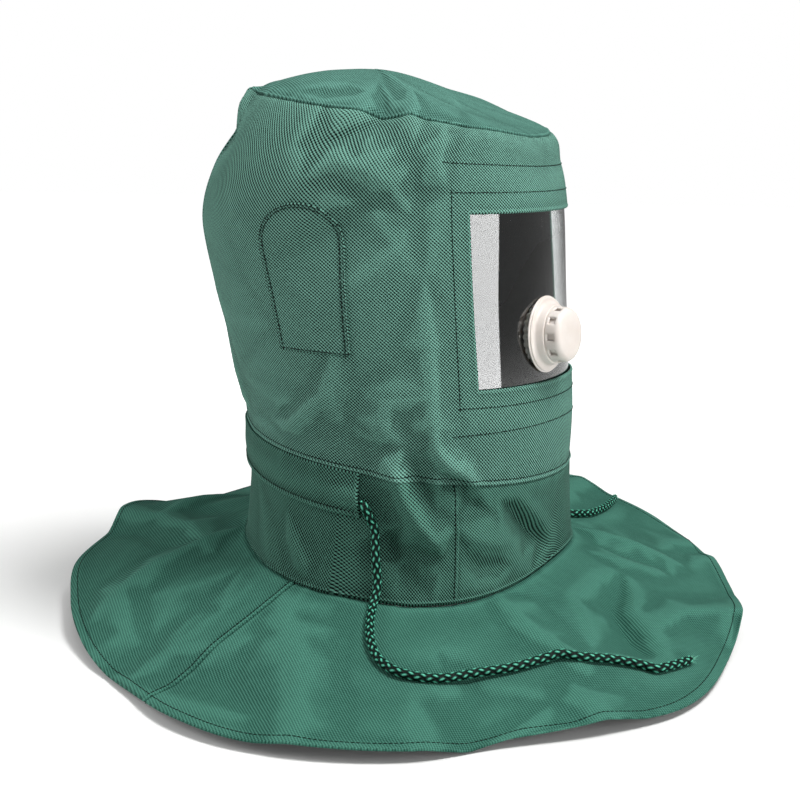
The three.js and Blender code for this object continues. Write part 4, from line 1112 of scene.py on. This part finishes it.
patch = {
    "angle": 93.0, "width": 62.0, "height": 104.0, "arch": 34.0, "foot": 203.0, "taper": 0.88,
    "lift": 0.15, "thickness": 1.15, "columns": 34, "rows": 46,
}


def patchPlace(side, across, up):
    # a place on the patch: across from -1 to 1, up from its straight foot to its round top
    middle = side * patch["angle"]
    foot = levelAt(patch["foot"], middle)
    perLevel, perDegree = float(levelLength(middle, foot)), float(degreeLength(middle, foot))
    straight = patch["height"] - patch["arch"]
    height = up * (straight + patch["arch"] * np.sqrt(np.maximum(0, 1 - across * across)))
    width = patch["width"] * (patch["taper"] + (1 - patch["taper"]) * np.minimum(height / straight, 1))
    return middle + across * width / 2 / perDegree, foot + height / perLevel


def earPatch(name, side):
    # columns crowd toward the sides, where the round top falls steeply
    across = np.sin(np.linspace(-np.pi / 2, np.pi / 2, patch["columns"] + 1))
    up = np.linspace(0, 1, patch["rows"] + 1)
    acrossGrid, upGrid = np.meshgrid(across, up)
    angle, level = patchPlace(side, acrossGrid, upGrid)
    place, rise = drape(angle, level)
    normal = plainNormal(angle, level)
    top = patch["height"] - patch["arch"] * (1 - np.sqrt(1 - acrossGrid**2 * 0.999))
    tall = upGrid * top
    inward = np.minimum(np.minimum(tall, top - tall), (1 - np.abs(acrossGrid)) * patch["width"] / 2)
    turnedEdge = 0.4 * np.exp(-((inward - 1.1) / 1.1) ** 2) - 0.3 * np.exp(-((inward - 3.4) / 0.9) ** 2)
    lift = rise + patch["lift"] + turnedEdge
    outer = place + normal * (lift + patch["thickness"])[..., None]
    inner = place + normal * (rise + patch["lift"])[..., None]
    outer[..., 2] -= crownInside
    inner[..., 2] -= crownInside
    uv = planUv(angle, level, outer) + 0.4
    # the patch is lighter on its raised turned edge, darker in the groove inside it and darker at its rim: a painted
    # highlight, painted shade and a painted edge shadow of that relief
    wearAndShade = 0.5 + turnedEdge * 0.6 - 0.3 * np.exp(-inward / 1.6)
    return wallMesh(name, outer, inner, uv, wearAndShade, [canvas["wall"], coatedBack])


tunnel = {"lift": 0.6, "cordRise": 5.2, "mouthReach": 7.0, "along": 0.22, "cordPlace": 0.42, "cordSpread": 0.3}


def cordTunnel():
    # a flat band sewn over the neck, open at its two ends, that stands off where the cord comes out
    left, right = hood["tunnelMouth"], 360 - hood["tunnelMouth"]
    columns = columnSteps(left, right, grid["column"], [left, right])
    high = 2 - seamGapAt(60, 2)[1]
    rows = rowSteps(tunnelLevel, high, grid["row"] * 0.6, [tunnelLevel, high])

    def standOff(angle, level):
        up = np.clip((level - tunnelLevel) / (2 - tunnelLevel), 0, 1)
        bulge = np.exp(-((up - tunnel["cordPlace"]) / tunnel["cordSpread"]) ** 2)
        bulge *= np.clip(np.minimum(up, 1 - up) * 6, 0, 1)
        mouth = np.exp(-((np.minimum(angle - left, right - angle) / tunnel["mouthReach"]) ** 2))
        share = tunnel["along"] + (1 - tunnel["along"]) * mouth
        hem = (up * hood["tunnelDepth"] - 3.4) / 0.7
        return tunnel["lift"] + hood["cloth"] + tunnel["cordRise"] * bulge * share - 0.3 * np.exp(-hem**2)

    edges = [("level", tunnelLevel, 1.1, 2.6), ("angle", left, 0.9, 1.4), ("angle", right, 0.9, 1.4)]
    return clothPiece("tunnel_cloth", columns, rows, planUv, edges, [canvas["band"], coatedBack], base=standOff)


settle(facePanel(), "canvas", "face_panel")
settle(crownGusset(), "canvas", "crown_gusset")
print("head panels are made")
neckSeam, skirtSeam = hood["neckSeam"], hood["skirtSeam"]
settle(neckBand("neck_cloth_front", -neckSeam, neckSeam, -0.4), "canvas_band", "neck_band_front")
settle(neckBand("neck_cloth_back", neckSeam, 360 - neckSeam, 0.5), "canvas_band", "neck_band_back")
settle(cordTunnel(), "canvas_band", "cord_tunnel")
settle(skirtPanel("skirt_cloth_front", -skirtSeam, skirtSeam, -0.9), "canvas", "skirt_front")
settle(skirtPanel("skirt_cloth_back", skirtSeam, 360 - skirtSeam, 0.8), "canvas", "skirt_back")
settle(earPatch("ear_patch_cloth_right", 1), "canvas_patch", "ear_patch_right")
settle(earPatch("ear_patch_cloth_left", -1), "canvas_patch", "ear_patch_left")
print("band, tunnel, skirt and patches are made")

windowSheet = {"thickness": 1.2, "column": 3.0, "row": 3.5}
valve = {
    "angle": 9.0, "height": 210.0, "flange": 52.0, "flangeThickness": 2.4, "tube": 34.0, "tubeWall": 2.0,
    "step": 42.0, "stepHeight": 6.0, "cap": 38.0, "capHeight": 11.0, "capWall": 2.0, "slots": 10,
    "slotWidth": 6.0, "ring": 42.0, "ringThickness": 3.0, "clearance": 0.3, "teeth": 24, "sides": 120,
    # the drum behind the slots is a guess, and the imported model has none
    "drum": 33.4, "drumHeight": 7.6,
}


def clearSheetMaterial():
    # clear calendered vinyl sheet: glassy and slightly rippled
    material, tree, shader = newMaterial("clear calendered vinyl")
    spot = addNode(tree, "ShaderNodeUVMap", uv_map="cloth").outputs[0]
    ripple = addNode(tree, "ShaderNodeTexNoise", {"Vector": spot, "Scale": 9.0}).outputs["Fac"]
    bump = addNode(tree, "ShaderNodeBump", {"Height": ripple, "Strength": 0.15, "Distance": 0.0005})
    tree.links.new(bump.outputs[0], shader.inputs["Normal"])
    shader.inputs["Base Color"].default_value = linear("#f6f8f8")
    shader.inputs["Roughness"].default_value = 0.01
    shader.inputs["Transmission Weight"].default_value = 1.0
    shader.inputs["IOR"].default_value = 1.53
    shader.inputs["Coat Weight"].default_value = 1.0
    shader.inputs["Coat IOR"].default_value = 1.45
    shader.inputs["Coat Roughness"].default_value = 0.01
    return material


def mouldedPlasticMaterial(name, colour, shade, subsurface, transmission=0.0):
    # injection moulded polypropylene: satin, a little waxy, with a fine mould grain
    material, tree, shader = newMaterial(name)
    place = addNode(tree, "ShaderNodeTexCoord").outputs["Object"]
    cloudy = addNode(tree, "ShaderNodeTexNoise", {"Vector": place, "Scale": 60.0, "Detail": 3.0}).outputs["Fac"]
    grain = addNode(tree, "ShaderNodeTexNoise", {"Vector": place, "Scale": 2200.0, "Detail": 2.0}).outputs["Fac"]
    bump = addNode(tree, "ShaderNodeBump", {"Height": grain, "Strength": 0.25, "Distance": 0.00006})
    stops = [(0.3, shade), (0.7, colour)]
    tint = addNode(tree, "ShaderNodeValToRGB", {"Fac": cloudy}, stops).outputs["Color"]
    rough = addNode(tree, "ShaderNodeMath", {0: grain, 1: 0.12, 2: 0.3}, operation="MULTIPLY_ADD").outputs[0]
    tree.links.new(tint, shader.inputs["Base Color"])
    tree.links.new(rough, shader.inputs["Roughness"])
    tree.links.new(bump.outputs[0], shader.inputs["Normal"])
    shader.inputs["IOR"].default_value = 1.49
    shader.inputs["Subsurface Weight"].default_value = subsurface
    shader.inputs["Subsurface Radius"].default_value = (1.0, 0.9, 0.8)
    shader.inputs["Subsurface Scale"].default_value = 0.002
    shader.inputs["Transmission Weight"].default_value = transmission
    return material


valveLevel = levelAt(valve["height"], valve["angle"])
valveAxis = plainNormal(valve["angle"], valveLevel)
valveSide = np.cross((0, 0, 1.0), valveAxis)
valveSide /= np.linalg.norm(valveSide)
valveFrame = np.stack([valveSide, np.cross(valveAxis, valveSide), valveAxis])
sheetFace = -hood["cloth"] - hood["layerGap"]
valveMiddle = plainPlace(valve["angle"], valveLevel) + valveAxis * sheetFace - (0, 0, crownInside)


def clearSheet():
    grow = hood["lensMargin"] / float(degreeLength(windowAngle, sillLevel))
    low = sillLevel - hood["lensMargin"] / float(levelLength(0, sillLevel))
    high = lintelLevel + hood["lensMargin"] / float(levelLength(0, lintelLevel))
    reach = windowAngle + grow
    columns = np.linspace(-reach, reach, int(2 * reach * 2.06 / windowSheet["column"]))
    rows = np.linspace(low, high, int(140 / windowSheet["row"]))
    tube = valve["tube"] / 2 + 1.5

    def outsideTube(angle, level):
        place = plainPlace(angle, level) - (0, 0, crownInside) - valveMiddle
        return np.hypot(place @ valveFrame[0], place @ valveFrame[1]) > tube

    def base(angle, level):
        return np.full(angle.shape, sheetFace)

    return clothPiece(
        "clear_window_sheet", columns, rows, planUv, [], [clearVinyl, clearVinyl],
        outsideTube, base=base, thickness=windowSheet["thickness"],
    )


def rounded(corners, radius=0.45, turns=3):
    # a closed outline of (radius, height) pairs with its corners rounded off
    corners = np.array(corners, float)
    found = []
    for k, corner in enumerate(corners):
        before, after = corners[k - 1] - corner, corners[(k + 1) % len(corners)] - corner
        cut = min(radius, np.linalg.norm(before) * 0.4, np.linalg.norm(after) * 0.4)
        start = corner + before / np.linalg.norm(before) * cut
        end = corner + after / np.linalg.norm(after) * cut
        for t in np.linspace(0, 1, turns + 1):
            found.append((1 - t) ** 2 * start + 2 * t * (1 - t) * corner + t * t * end)
    return np.array(found)


def turnedRing(name, outline, material, wobble=None):
    # a closed outline turned round the valve's axis
    sides = valve["sides"]
    turn = 2 * np.pi * np.arange(sides) / sides
    radius = np.repeat(outline[:, 0][None, :], sides, 0)
    if wobble is not None:
        radius = wobble(radius, turn[:, None])
    local = np.stack([
        radius * np.cos(turn)[:, None], radius * np.sin(turn)[:, None],
        np.repeat(outline[:, 1][None, :], sides, 0),
    ], -1)
    points = valveMiddle + local @ valveFrame
    count = len(outline)
    faces = []
    for side in range(sides):
        nextSide = (side + 1) % sides
        for k in range(count):
            n = (k + 1) % count
            faces.append((side * count + k, nextSide * count + k, nextSide * count + n, side * count + n))
    return smooth(merged(meshObject(name, points.reshape(-1, 3) * mm, faces, [material]), recalculate=True))


headReach = hood["headReach"]
sheetFall = headReach - math.sqrt(headReach**2 - (valve["ring"] / 2) ** 2)
ringTop = -windowSheet["thickness"] - valve["clearance"] - sheetFall
ringBottom = ringTop - valve["ringThickness"]


def valveBody():
    tube, flange, step, drum = (valve[part] / 2 for part in ("tube", "flange", "step", "drum"))
    foot = valve["clearance"]
    rim = foot + valve["flangeThickness"]
    top = rim + valve["stepHeight"]
    return turnedRing("moulded_valve_body", rounded([
        (tube - valve["tubeWall"], ringBottom), (tube, ringBottom), (tube, foot), (flange, foot),
        (flange, foot + 1.0), (flange - 0.9, foot + 1.15), (flange - 0.9, rim - 0.2), (flange - 1.7, rim),
        (step + 1.6, rim), (step + 0.6, rim + 0.5), (step, rim + 1.4), (step - 1, top), (drum, top),
        (drum, top + valve["drumHeight"]), (tube - valve["tubeWall"], top + valve["drumHeight"]),
    ]), whitePlastic)


def valveCap():
    base = valve["clearance"] * 2 + valve["flangeThickness"] + valve["stepHeight"]
    radius, tall, wallThick = valve["cap"] / 2, valve["capHeight"], valve["capWall"]
    outline = np.array([
        (radius, 0), (radius, 1.2), (radius - 0.1, 2.2), (radius - 0.25, 3.6), (radius - 0.4, 5.2),
        (radius - 0.6, 6.8), (radius - 1.0, 8.0), (radius - 1.7, 9.1), (radius - 2.8, 10.0), (radius - 4.4, 10.6), (radius - 7, 10.85),
        (radius - 10, 10.95), (radius - 14, tall), (0, tall),
    ])
    back = outline.copy()
    back[:, 0] = np.maximum(outline[:, 0] - wallThick, 0)
    back[6:, 1] -= np.linspace(0.4, wallThick, 8)
    sides = valve["sides"]
    turn = np.linspace(0, 2 * np.pi, sides + 1)

    def shell(profile):
        local = np.stack([
            profile[:, 0][:, None] * np.cos(turn)[None], profile[:, 0][:, None] * np.sin(turn)[None],
            np.repeat(profile[:, 1][:, None] + base, sides + 1, 1),
        ], -1)
        return valveMiddle + local @ valveFrame

    middleRow = (outline[:-1, 1] + outline[1:, 1]) / 2
    middleTurn = (turn[:-1] + turn[1:]) / 2
    share = (middleTurn * valve["slots"] / (2 * np.pi)) % 1
    width = valve["slotWidth"] * valve["slots"] / (np.pi * valve["cap"])
    slotTall = (middleRow > 1.5) & (middleRow < 6.9)
    slot = (np.abs(share - 0.5) > 0.5 - width / 2)[None, :] & slotTall[:, None]
    uv = np.zeros((len(outline), sides + 1, 2))
    return wallMesh(
        "moulded_valve_cap", shell(outline), shell(back), uv, np.full(uv.shape[:2], 0.5),
        [whitePlastic, whitePlastic], ~slot, True,
    )


def clampRing():
    inner, outer = valve["tube"] / 2 + valve["clearance"], valve["ring"] / 2
    outline = rounded([(inner, ringBottom), (outer, ringBottom), (outer, ringTop), (inner, ringTop)], 0.35)

    def toothed(radius, turn):
        tooth = np.clip(np.cos(turn * valve["teeth"]) * 2.5, -1, 1)
        return np.where(radius > (inner + outer) / 2, radius - 0.7 + 0.7 * tooth, radius)

    return turnedRing("toothed_clamp_ring", outline, clearPlastic, toothed)


clearVinyl = clearSheetMaterial()
whitePlastic = mouldedPlasticMaterial("moulded white polypropylene", "#e3dcd6", "#d8cec6", 0.2)
clearPlastic = mouldedPlasticMaterial("moulded natural polypropylene", "#efeeea", "#e4e2dc", 0.2, 0.3)
settle(clearSheet(), "clear_sheet", "window_sheet")
settle(valveBody(), "valve_plastic", "valve_body")
settle(valveCap(), "valve_plastic", "valve_cap")
settle(clampRing(), "valve_plastic", "valve_clamp_ring")
print("window and valve are made")

stitching = {"pitch": 3.1, "length": 2.8, "thread": 0.75, "lift": 0.1, "colour": "#020c09", "seed": 3}


def threadMaterial():
    # polyester sewing thread, dyed a darker green than the cloth, with the twist of its plies
    material, tree, shader = newMaterial("spun polyester sewing thread")
    place = addNode(tree, "ShaderNodeTexCoord").outputs["Object"]
    twist = addNode(tree, "ShaderNodeTexWave", {"Vector": place, "Scale": 700.0, "Distortion": 1.0}).outputs["Fac"]
    stops = [(0.2, stitching["colour"]), (0.9, "#0c2c23")]
    colour = addNode(tree, "ShaderNodeValToRGB", {"Fac": twist}, stops).outputs["Color"]
    tree.links.new(colour, shader.inputs["Base Color"])
    shader.inputs["Roughness"].default_value = 0.6
    shader.inputs["Specular IOR Level"].default_value = 0.15
    return material


def stitchTree():
    # single stitches at even steps along every curve, each turned along it
    tree = bpy.data.node_groups.new("lockstitch rows", "GeometryNodeTree")
    face = tree.interface
    face.new_socket("Geometry", in_out="INPUT", socket_type="NodeSocketGeometry")
    for name, kind in (("Stitch Pitch", "Float"), ("Stitch Length", "Float"), ("Thread Diameter", "Float"),
                       ("Seed", "Int"), ("Thread", "Material")):
        face.new_socket(name, in_out="INPUT", socket_type="NodeSocket" + kind)
    face.new_socket("Geometry", in_out="OUTPUT", socket_type="NodeSocketGeometry")
    inside = addNode(tree, "NodeGroupInput").outputs
    links = {"Curve": inside["Geometry"], "Length": inside["Stitch Pitch"]}
    along = addNode(tree, "GeometryNodeCurveToPoints", links, mode="LENGTH")
    jitter = addNode(tree, "FunctionNodeRandomValue", {"Seed": inside["Seed"]}, data_type="FLOAT_VECTOR")
    jitter.inputs[0].default_value = (-0.08, -0.08, -0.08)
    jitter.inputs[1].default_value = (0.08, 0.08, 0.08)
    aim = addNode(tree, "ShaderNodeVectorMath", {0: along.outputs["Tangent"], 1: jitter.outputs[0]}, operation="ADD")
    turned = addNode(tree, "FunctionNodeAlignRotationToVector", {"Vector": aim.outputs[0]}, axis="Z")
    bead = addNode(tree, "GeometryNodeMeshUVSphere", {"Segments": 6, "Rings": 5, "Radius": 0.5})
    size = addNode(tree, "ShaderNodeCombineXYZ", {
        "X": inside["Thread Diameter"], "Y": inside["Thread Diameter"], "Z": inside["Stitch Length"],
    })
    drawn = addNode(tree, "GeometryNodeTransform", {"Geometry": bead.outputs["Mesh"], "Scale": size.outputs[0]})
    placed = addNode(tree, "GeometryNodeInstanceOnPoints", {
        "Points": along.outputs["Points"], "Instance": drawn.outputs[0], "Rotation": turned.outputs[0],
    })
    real = addNode(tree, "GeometryNodeRealizeInstances", {"Geometry": placed.outputs[0]})
    smoothed = addNode(tree, "GeometryNodeSetShadeSmooth", {"Geometry": real.outputs[0]})
    painted = addNode(tree, "GeometryNodeSetMaterial", {"Geometry": smoothed.outputs[0], "Material": inside["Thread"]})
    addNode(tree, "NodeGroupOutput", {"Geometry": painted.outputs[0]})
    return tree


def applied(name, obj):
    # the evaluated result as a plain mesh, without its modifier
    bpy.context.view_layer.update()
    mesh = bpy.data.meshes.new_from_object(obj.evaluated_get(bpy.context.evaluated_depsgraph_get()))
    curve = obj.data
    bpy.data.objects.remove(obj)
    bpy.data.curves.remove(curve)
    mesh.name = name
    made = bpy.data.objects.new(name, mesh)
    scene.collection.objects.link(made)
    return made


def stitchRows(name, rows):
    curve = bpy.data.curves.new(name + "_line", "CURVE")
    curve.dimensions = "3D"
    for row in rows:
        spline = curve.splines.new("POLY")
        spline.points.add(len(row) - 1)
        spline.points.foreach_set("co", np.hstack([row * mm, np.ones((len(row), 1))]).ravel())
    line = bpy.data.objects.new(name + "_line", curve)
    scene.collection.objects.link(line)
    modifier = line.modifiers.new("stitches", "NODES")
    modifier.node_group = lockstitch
    values = {
        "Stitch Pitch": stitching["pitch"] * mm, "Stitch Length": stitching["length"] * mm,
        "Thread Diameter": stitching["thread"] * mm, "Seed": stitching["seed"], "Thread": thread,
    }
    for item in lockstitch.interface.items_tree:
        if item.in_out == "INPUT" and item.name in values:
            modifier[item.identifier] = values[item.name]
    return applied(name, line)


def sewn(corners, off=0.0, spacing=1.6):
    # a row of stitches through (angle, level) corners, laid on the cloth
    corners = np.array(corners, float)
    place = plainPlace(corners[:, 0], corners[:, 1])
    run = np.concatenate([[0], np.cumsum(np.linalg.norm(np.diff(place, axis=0), axis=1))])
    even = np.linspace(0, run[-1], max(int(run[-1] / spacing), 2))
    angle, level = np.interp(even, run, corners[:, 0]), np.interp(even, run, corners[:, 1])
    return clothSurface(angle, level, off + stitching["lift"])


def roundRow(level, left, right, away, off=0.0):
    # a row that keeps a distance above (or below) a level all the way round
    angle = np.arange(left, right + 0.5, 1.0)
    return sewn(np.stack([angle, level + away / levelLength(angle, np.full_like(angle, level))], 1), off)


def patchRow(side, inset, whole):
    # round the patch at an inset from its edge
    half, straight = patch["width"] / 2, patch["height"] - patch["arch"]
    left = [(-1 + inset / half, height) for height in np.linspace(inset if whole else 0, straight, 12)]
    wide, tall = 1 - inset / half, patch["arch"] - inset
    arch = [(-math.cos(t) * wide, straight + math.sin(t) * tall) for t in np.linspace(0, np.pi, 30)]
    right = [(1 - inset / half, height) for _, height in reversed(left)]
    foot = [(share, inset) for share in np.linspace(1 - inset / half, -1 + inset / half, 10)] if whole else []
    points = []
    middle = side * patch["angle"]
    footLevel = levelAt(patch["foot"], middle)
    perLevel, perDegree = float(levelLength(middle, footLevel)), float(degreeLength(middle, footLevel))
    for share, height in [*left, *arch, *right, *foot]:
        width = patch["width"] * (patch["taper"] + (1 - patch["taper"]) * min(height / straight, 1))
        points.append((middle + share * width / 2 / perDegree, footLevel + height / perLevel))
    return sewn(points, patch["lift"] + patch["thickness"] + 0.1)


thread = threadMaterial()
lockstitch = stitchTree()
windowRows = [sewn([(47.5 * side, 6.36), (47.7 * side, 5.2), (48.6 * side, 3.78)]) for side in (1, -1)]
windowRows += [
    sewn([(angle, 7.0) for angle in np.arange(-51, 52, 3)]),
    sewn([(angle, 6.35) for angle in np.arange(-47.5, 48, 2.5)]),
    sewn([(angle, 3.78) for angle in np.arange(-48.6, 49, 2.7)]),
    sewn([(angle, 3.3 - 0.15 * (angle / 51) ** 2) for angle in np.arange(-51, 52, 3)]),
]
settle(stitchRows("window_stitching", windowRows), "canvas")
patchRows = [patchRow(side, inset, whole) for side in (1, -1) for inset, whole in ((0.9, True), (3.4, False))]
settle(stitchRows("patch_stitching", patchRows), "canvas_patch")
mouth = hood["tunnelMouth"]
onTunnel = tunnel["lift"] + hood["cloth"]
seamRows = [
    roundRow(2, -hood["backSeam"], hood["backSeam"], 3.6), roundRow(0, -180, 180, 3.0),
    roundRow(tunnelLevel, mouth + 0.5, 359.5 - mouth, 1.1, onTunnel + 0.5),
    roundRow(tunnelLevel, mouth + 0.5, 359.5 - mouth, 4.2, onTunnel + 0.9),
    *(sewn([(side * (neckSeam + 1.5), 0.03), (side * (neckSeam + 1.5), 1.96)], 0.2) for side in (1, -1)),
]
settle(stitchRows("neck_stitching", seamRows), "canvas_band")
hemRowsSewn = [
    roundRow(-1, -180, 180, 5.6, 0.3),
    *(sewn([(side * (skirtSeam + 1.4), -0.02), (side * (skirtSeam + 0.75), -0.96)], 0.2) for side in (1, -1)),
]
settle(stitchRows("skirt_stitching", hemRowsSewn), "canvas")
print("stitching is made")

studio = {
    "floorDrop": 1.2, "floorReach": 6.0, "ambient": 0.18, "backdrop": 1.0, "farGlow": 0.85, "bothSides": 3.5,
    "glowFrom": 0.35, "glowTo": 1.3, "lampDrop": 0.15, "aimHeight": -0.2,
    # each lamp: azimuth, height and distance of its middle, width, height, watts
    "lamps": {
        "front softbox": (-10.0, 0.12, 1.55, 0.64, 0.95, 8.0),
        "key": (-6.0, 1.5, 0.9, 0.55, 0.55, 31.0),
        "top": (-60.0, 1.75, 0.15, 1.1, 1.1, 5.0),
        "back fill": (-150.0, 0.7, 1.7, 1.0, 1.2, 15.0),
    },
}


def seenDirectly(tree):
    # 1 where the backdrop is seen, also through both sides of the clear sheet, and 0 where it only lights
    path = addNode(tree, "ShaderNodeLightPath").outputs
    links = {0: path["Transmission Depth"], 1: studio["bothSides"]}
    through = addNode(tree, "ShaderNodeMath", links, operation="GREATER_THAN").outputs[0]
    links = {0: path["Is Camera Ray"], 1: through}
    return addNode(tree, "ShaderNodeMath", links, operation="MAXIMUM").outputs[0]


def makeStudio():
    hem = min(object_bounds()[0][2], cadBox[0][2]) - studio["floorDrop"] * mm
    reach = studio["floorReach"]
    corners = [(-reach, -reach, hem), (reach, -reach, hem), (reach, reach, hem), (-reach, reach, hem)]
    floor = meshObject("studio_floor", corners, [(0, 1, 2, 3)])
    material, tree, shader = newMaterial("matt paper floor")
    place = addNode(tree, "ShaderNodeTexCoord").outputs["Object"]
    grain = addNode(tree, "ShaderNodeTexNoise", {"Vector": place, "Scale": 3.0}).outputs["Fac"]
    stops = [(0.3, "#f4f4f3"), (0.7, "#f8f8f7")]
    colour = addNode(tree, "ShaderNodeValToRGB", {"Fac": grain}, stops).outputs["Color"]
    tree.links.new(colour, shader.inputs["Base Color"])
    shader.inputs["Roughness"].default_value = 0.9
    shader.inputs["Specular IOR Level"].default_value = 0.2
    # away from the object the paper glows, for the camera and through the clear sheet only
    away = addNode(tree, "ShaderNodeVectorMath", {0: place}, operation="LENGTH").outputs["Value"]
    links = {
        "Value": away, "From Min": studio["glowFrom"], "From Max": studio["glowTo"], "To Max": studio["farGlow"],
    }
    far = addNode(tree, "ShaderNodeMapRange", links, interpolation_type="SMOOTHSTEP").outputs[0]
    glow = addNode(tree, "ShaderNodeMath", {0: far, 1: seenDirectly(tree)}, operation="MULTIPLY").outputs[0]
    shader.inputs["Emission Color"].default_value = linear("#ffffff")
    tree.links.new(glow, shader.inputs["Emission Strength"])
    floor.data.materials.append(material)
    world = bpy.data.worlds.new("studio")
    world.use_nodes = True
    tree = world.node_tree
    tree.nodes.clear()
    links = {0: seenDirectly(tree), 1: studio["backdrop"] - studio["ambient"], 2: studio["ambient"]}
    strength = addNode(tree, "ShaderNodeMath", links, operation="MULTIPLY_ADD").outputs[0]
    glow = addNode(tree, "ShaderNodeBackground", {"Color": linear("#ffffff"), "Strength": strength})
    addNode(tree, "ShaderNodeOutputWorld", {"Surface": glow.outputs[0]})
    scene.world = world
    scene.view_settings.view_transform = "Standard"
    for name, (azimuth, height, distance, wide, tall, power) in studio["lamps"].items():
        turn = math.radians(azimuth)
        lamp = bpy.data.lights.new(name, "AREA")
        lamp.shape, lamp.size, lamp.size_y, lamp.energy = "RECTANGLE", wide, tall, power
        obj = bpy.data.objects.new(name, lamp)
        obj.location = (math.sin(turn) * distance, -math.cos(turn) * distance, height - studio["lampDrop"])
        aim = Vector((0, 0, studio["aimHeight"])) - obj.location
        obj.rotation_euler = aim.to_track_quat("-Z", "Y").to_euler()
        scene.collection.objects.link(obj)


makeStudio()
print("studio is set")
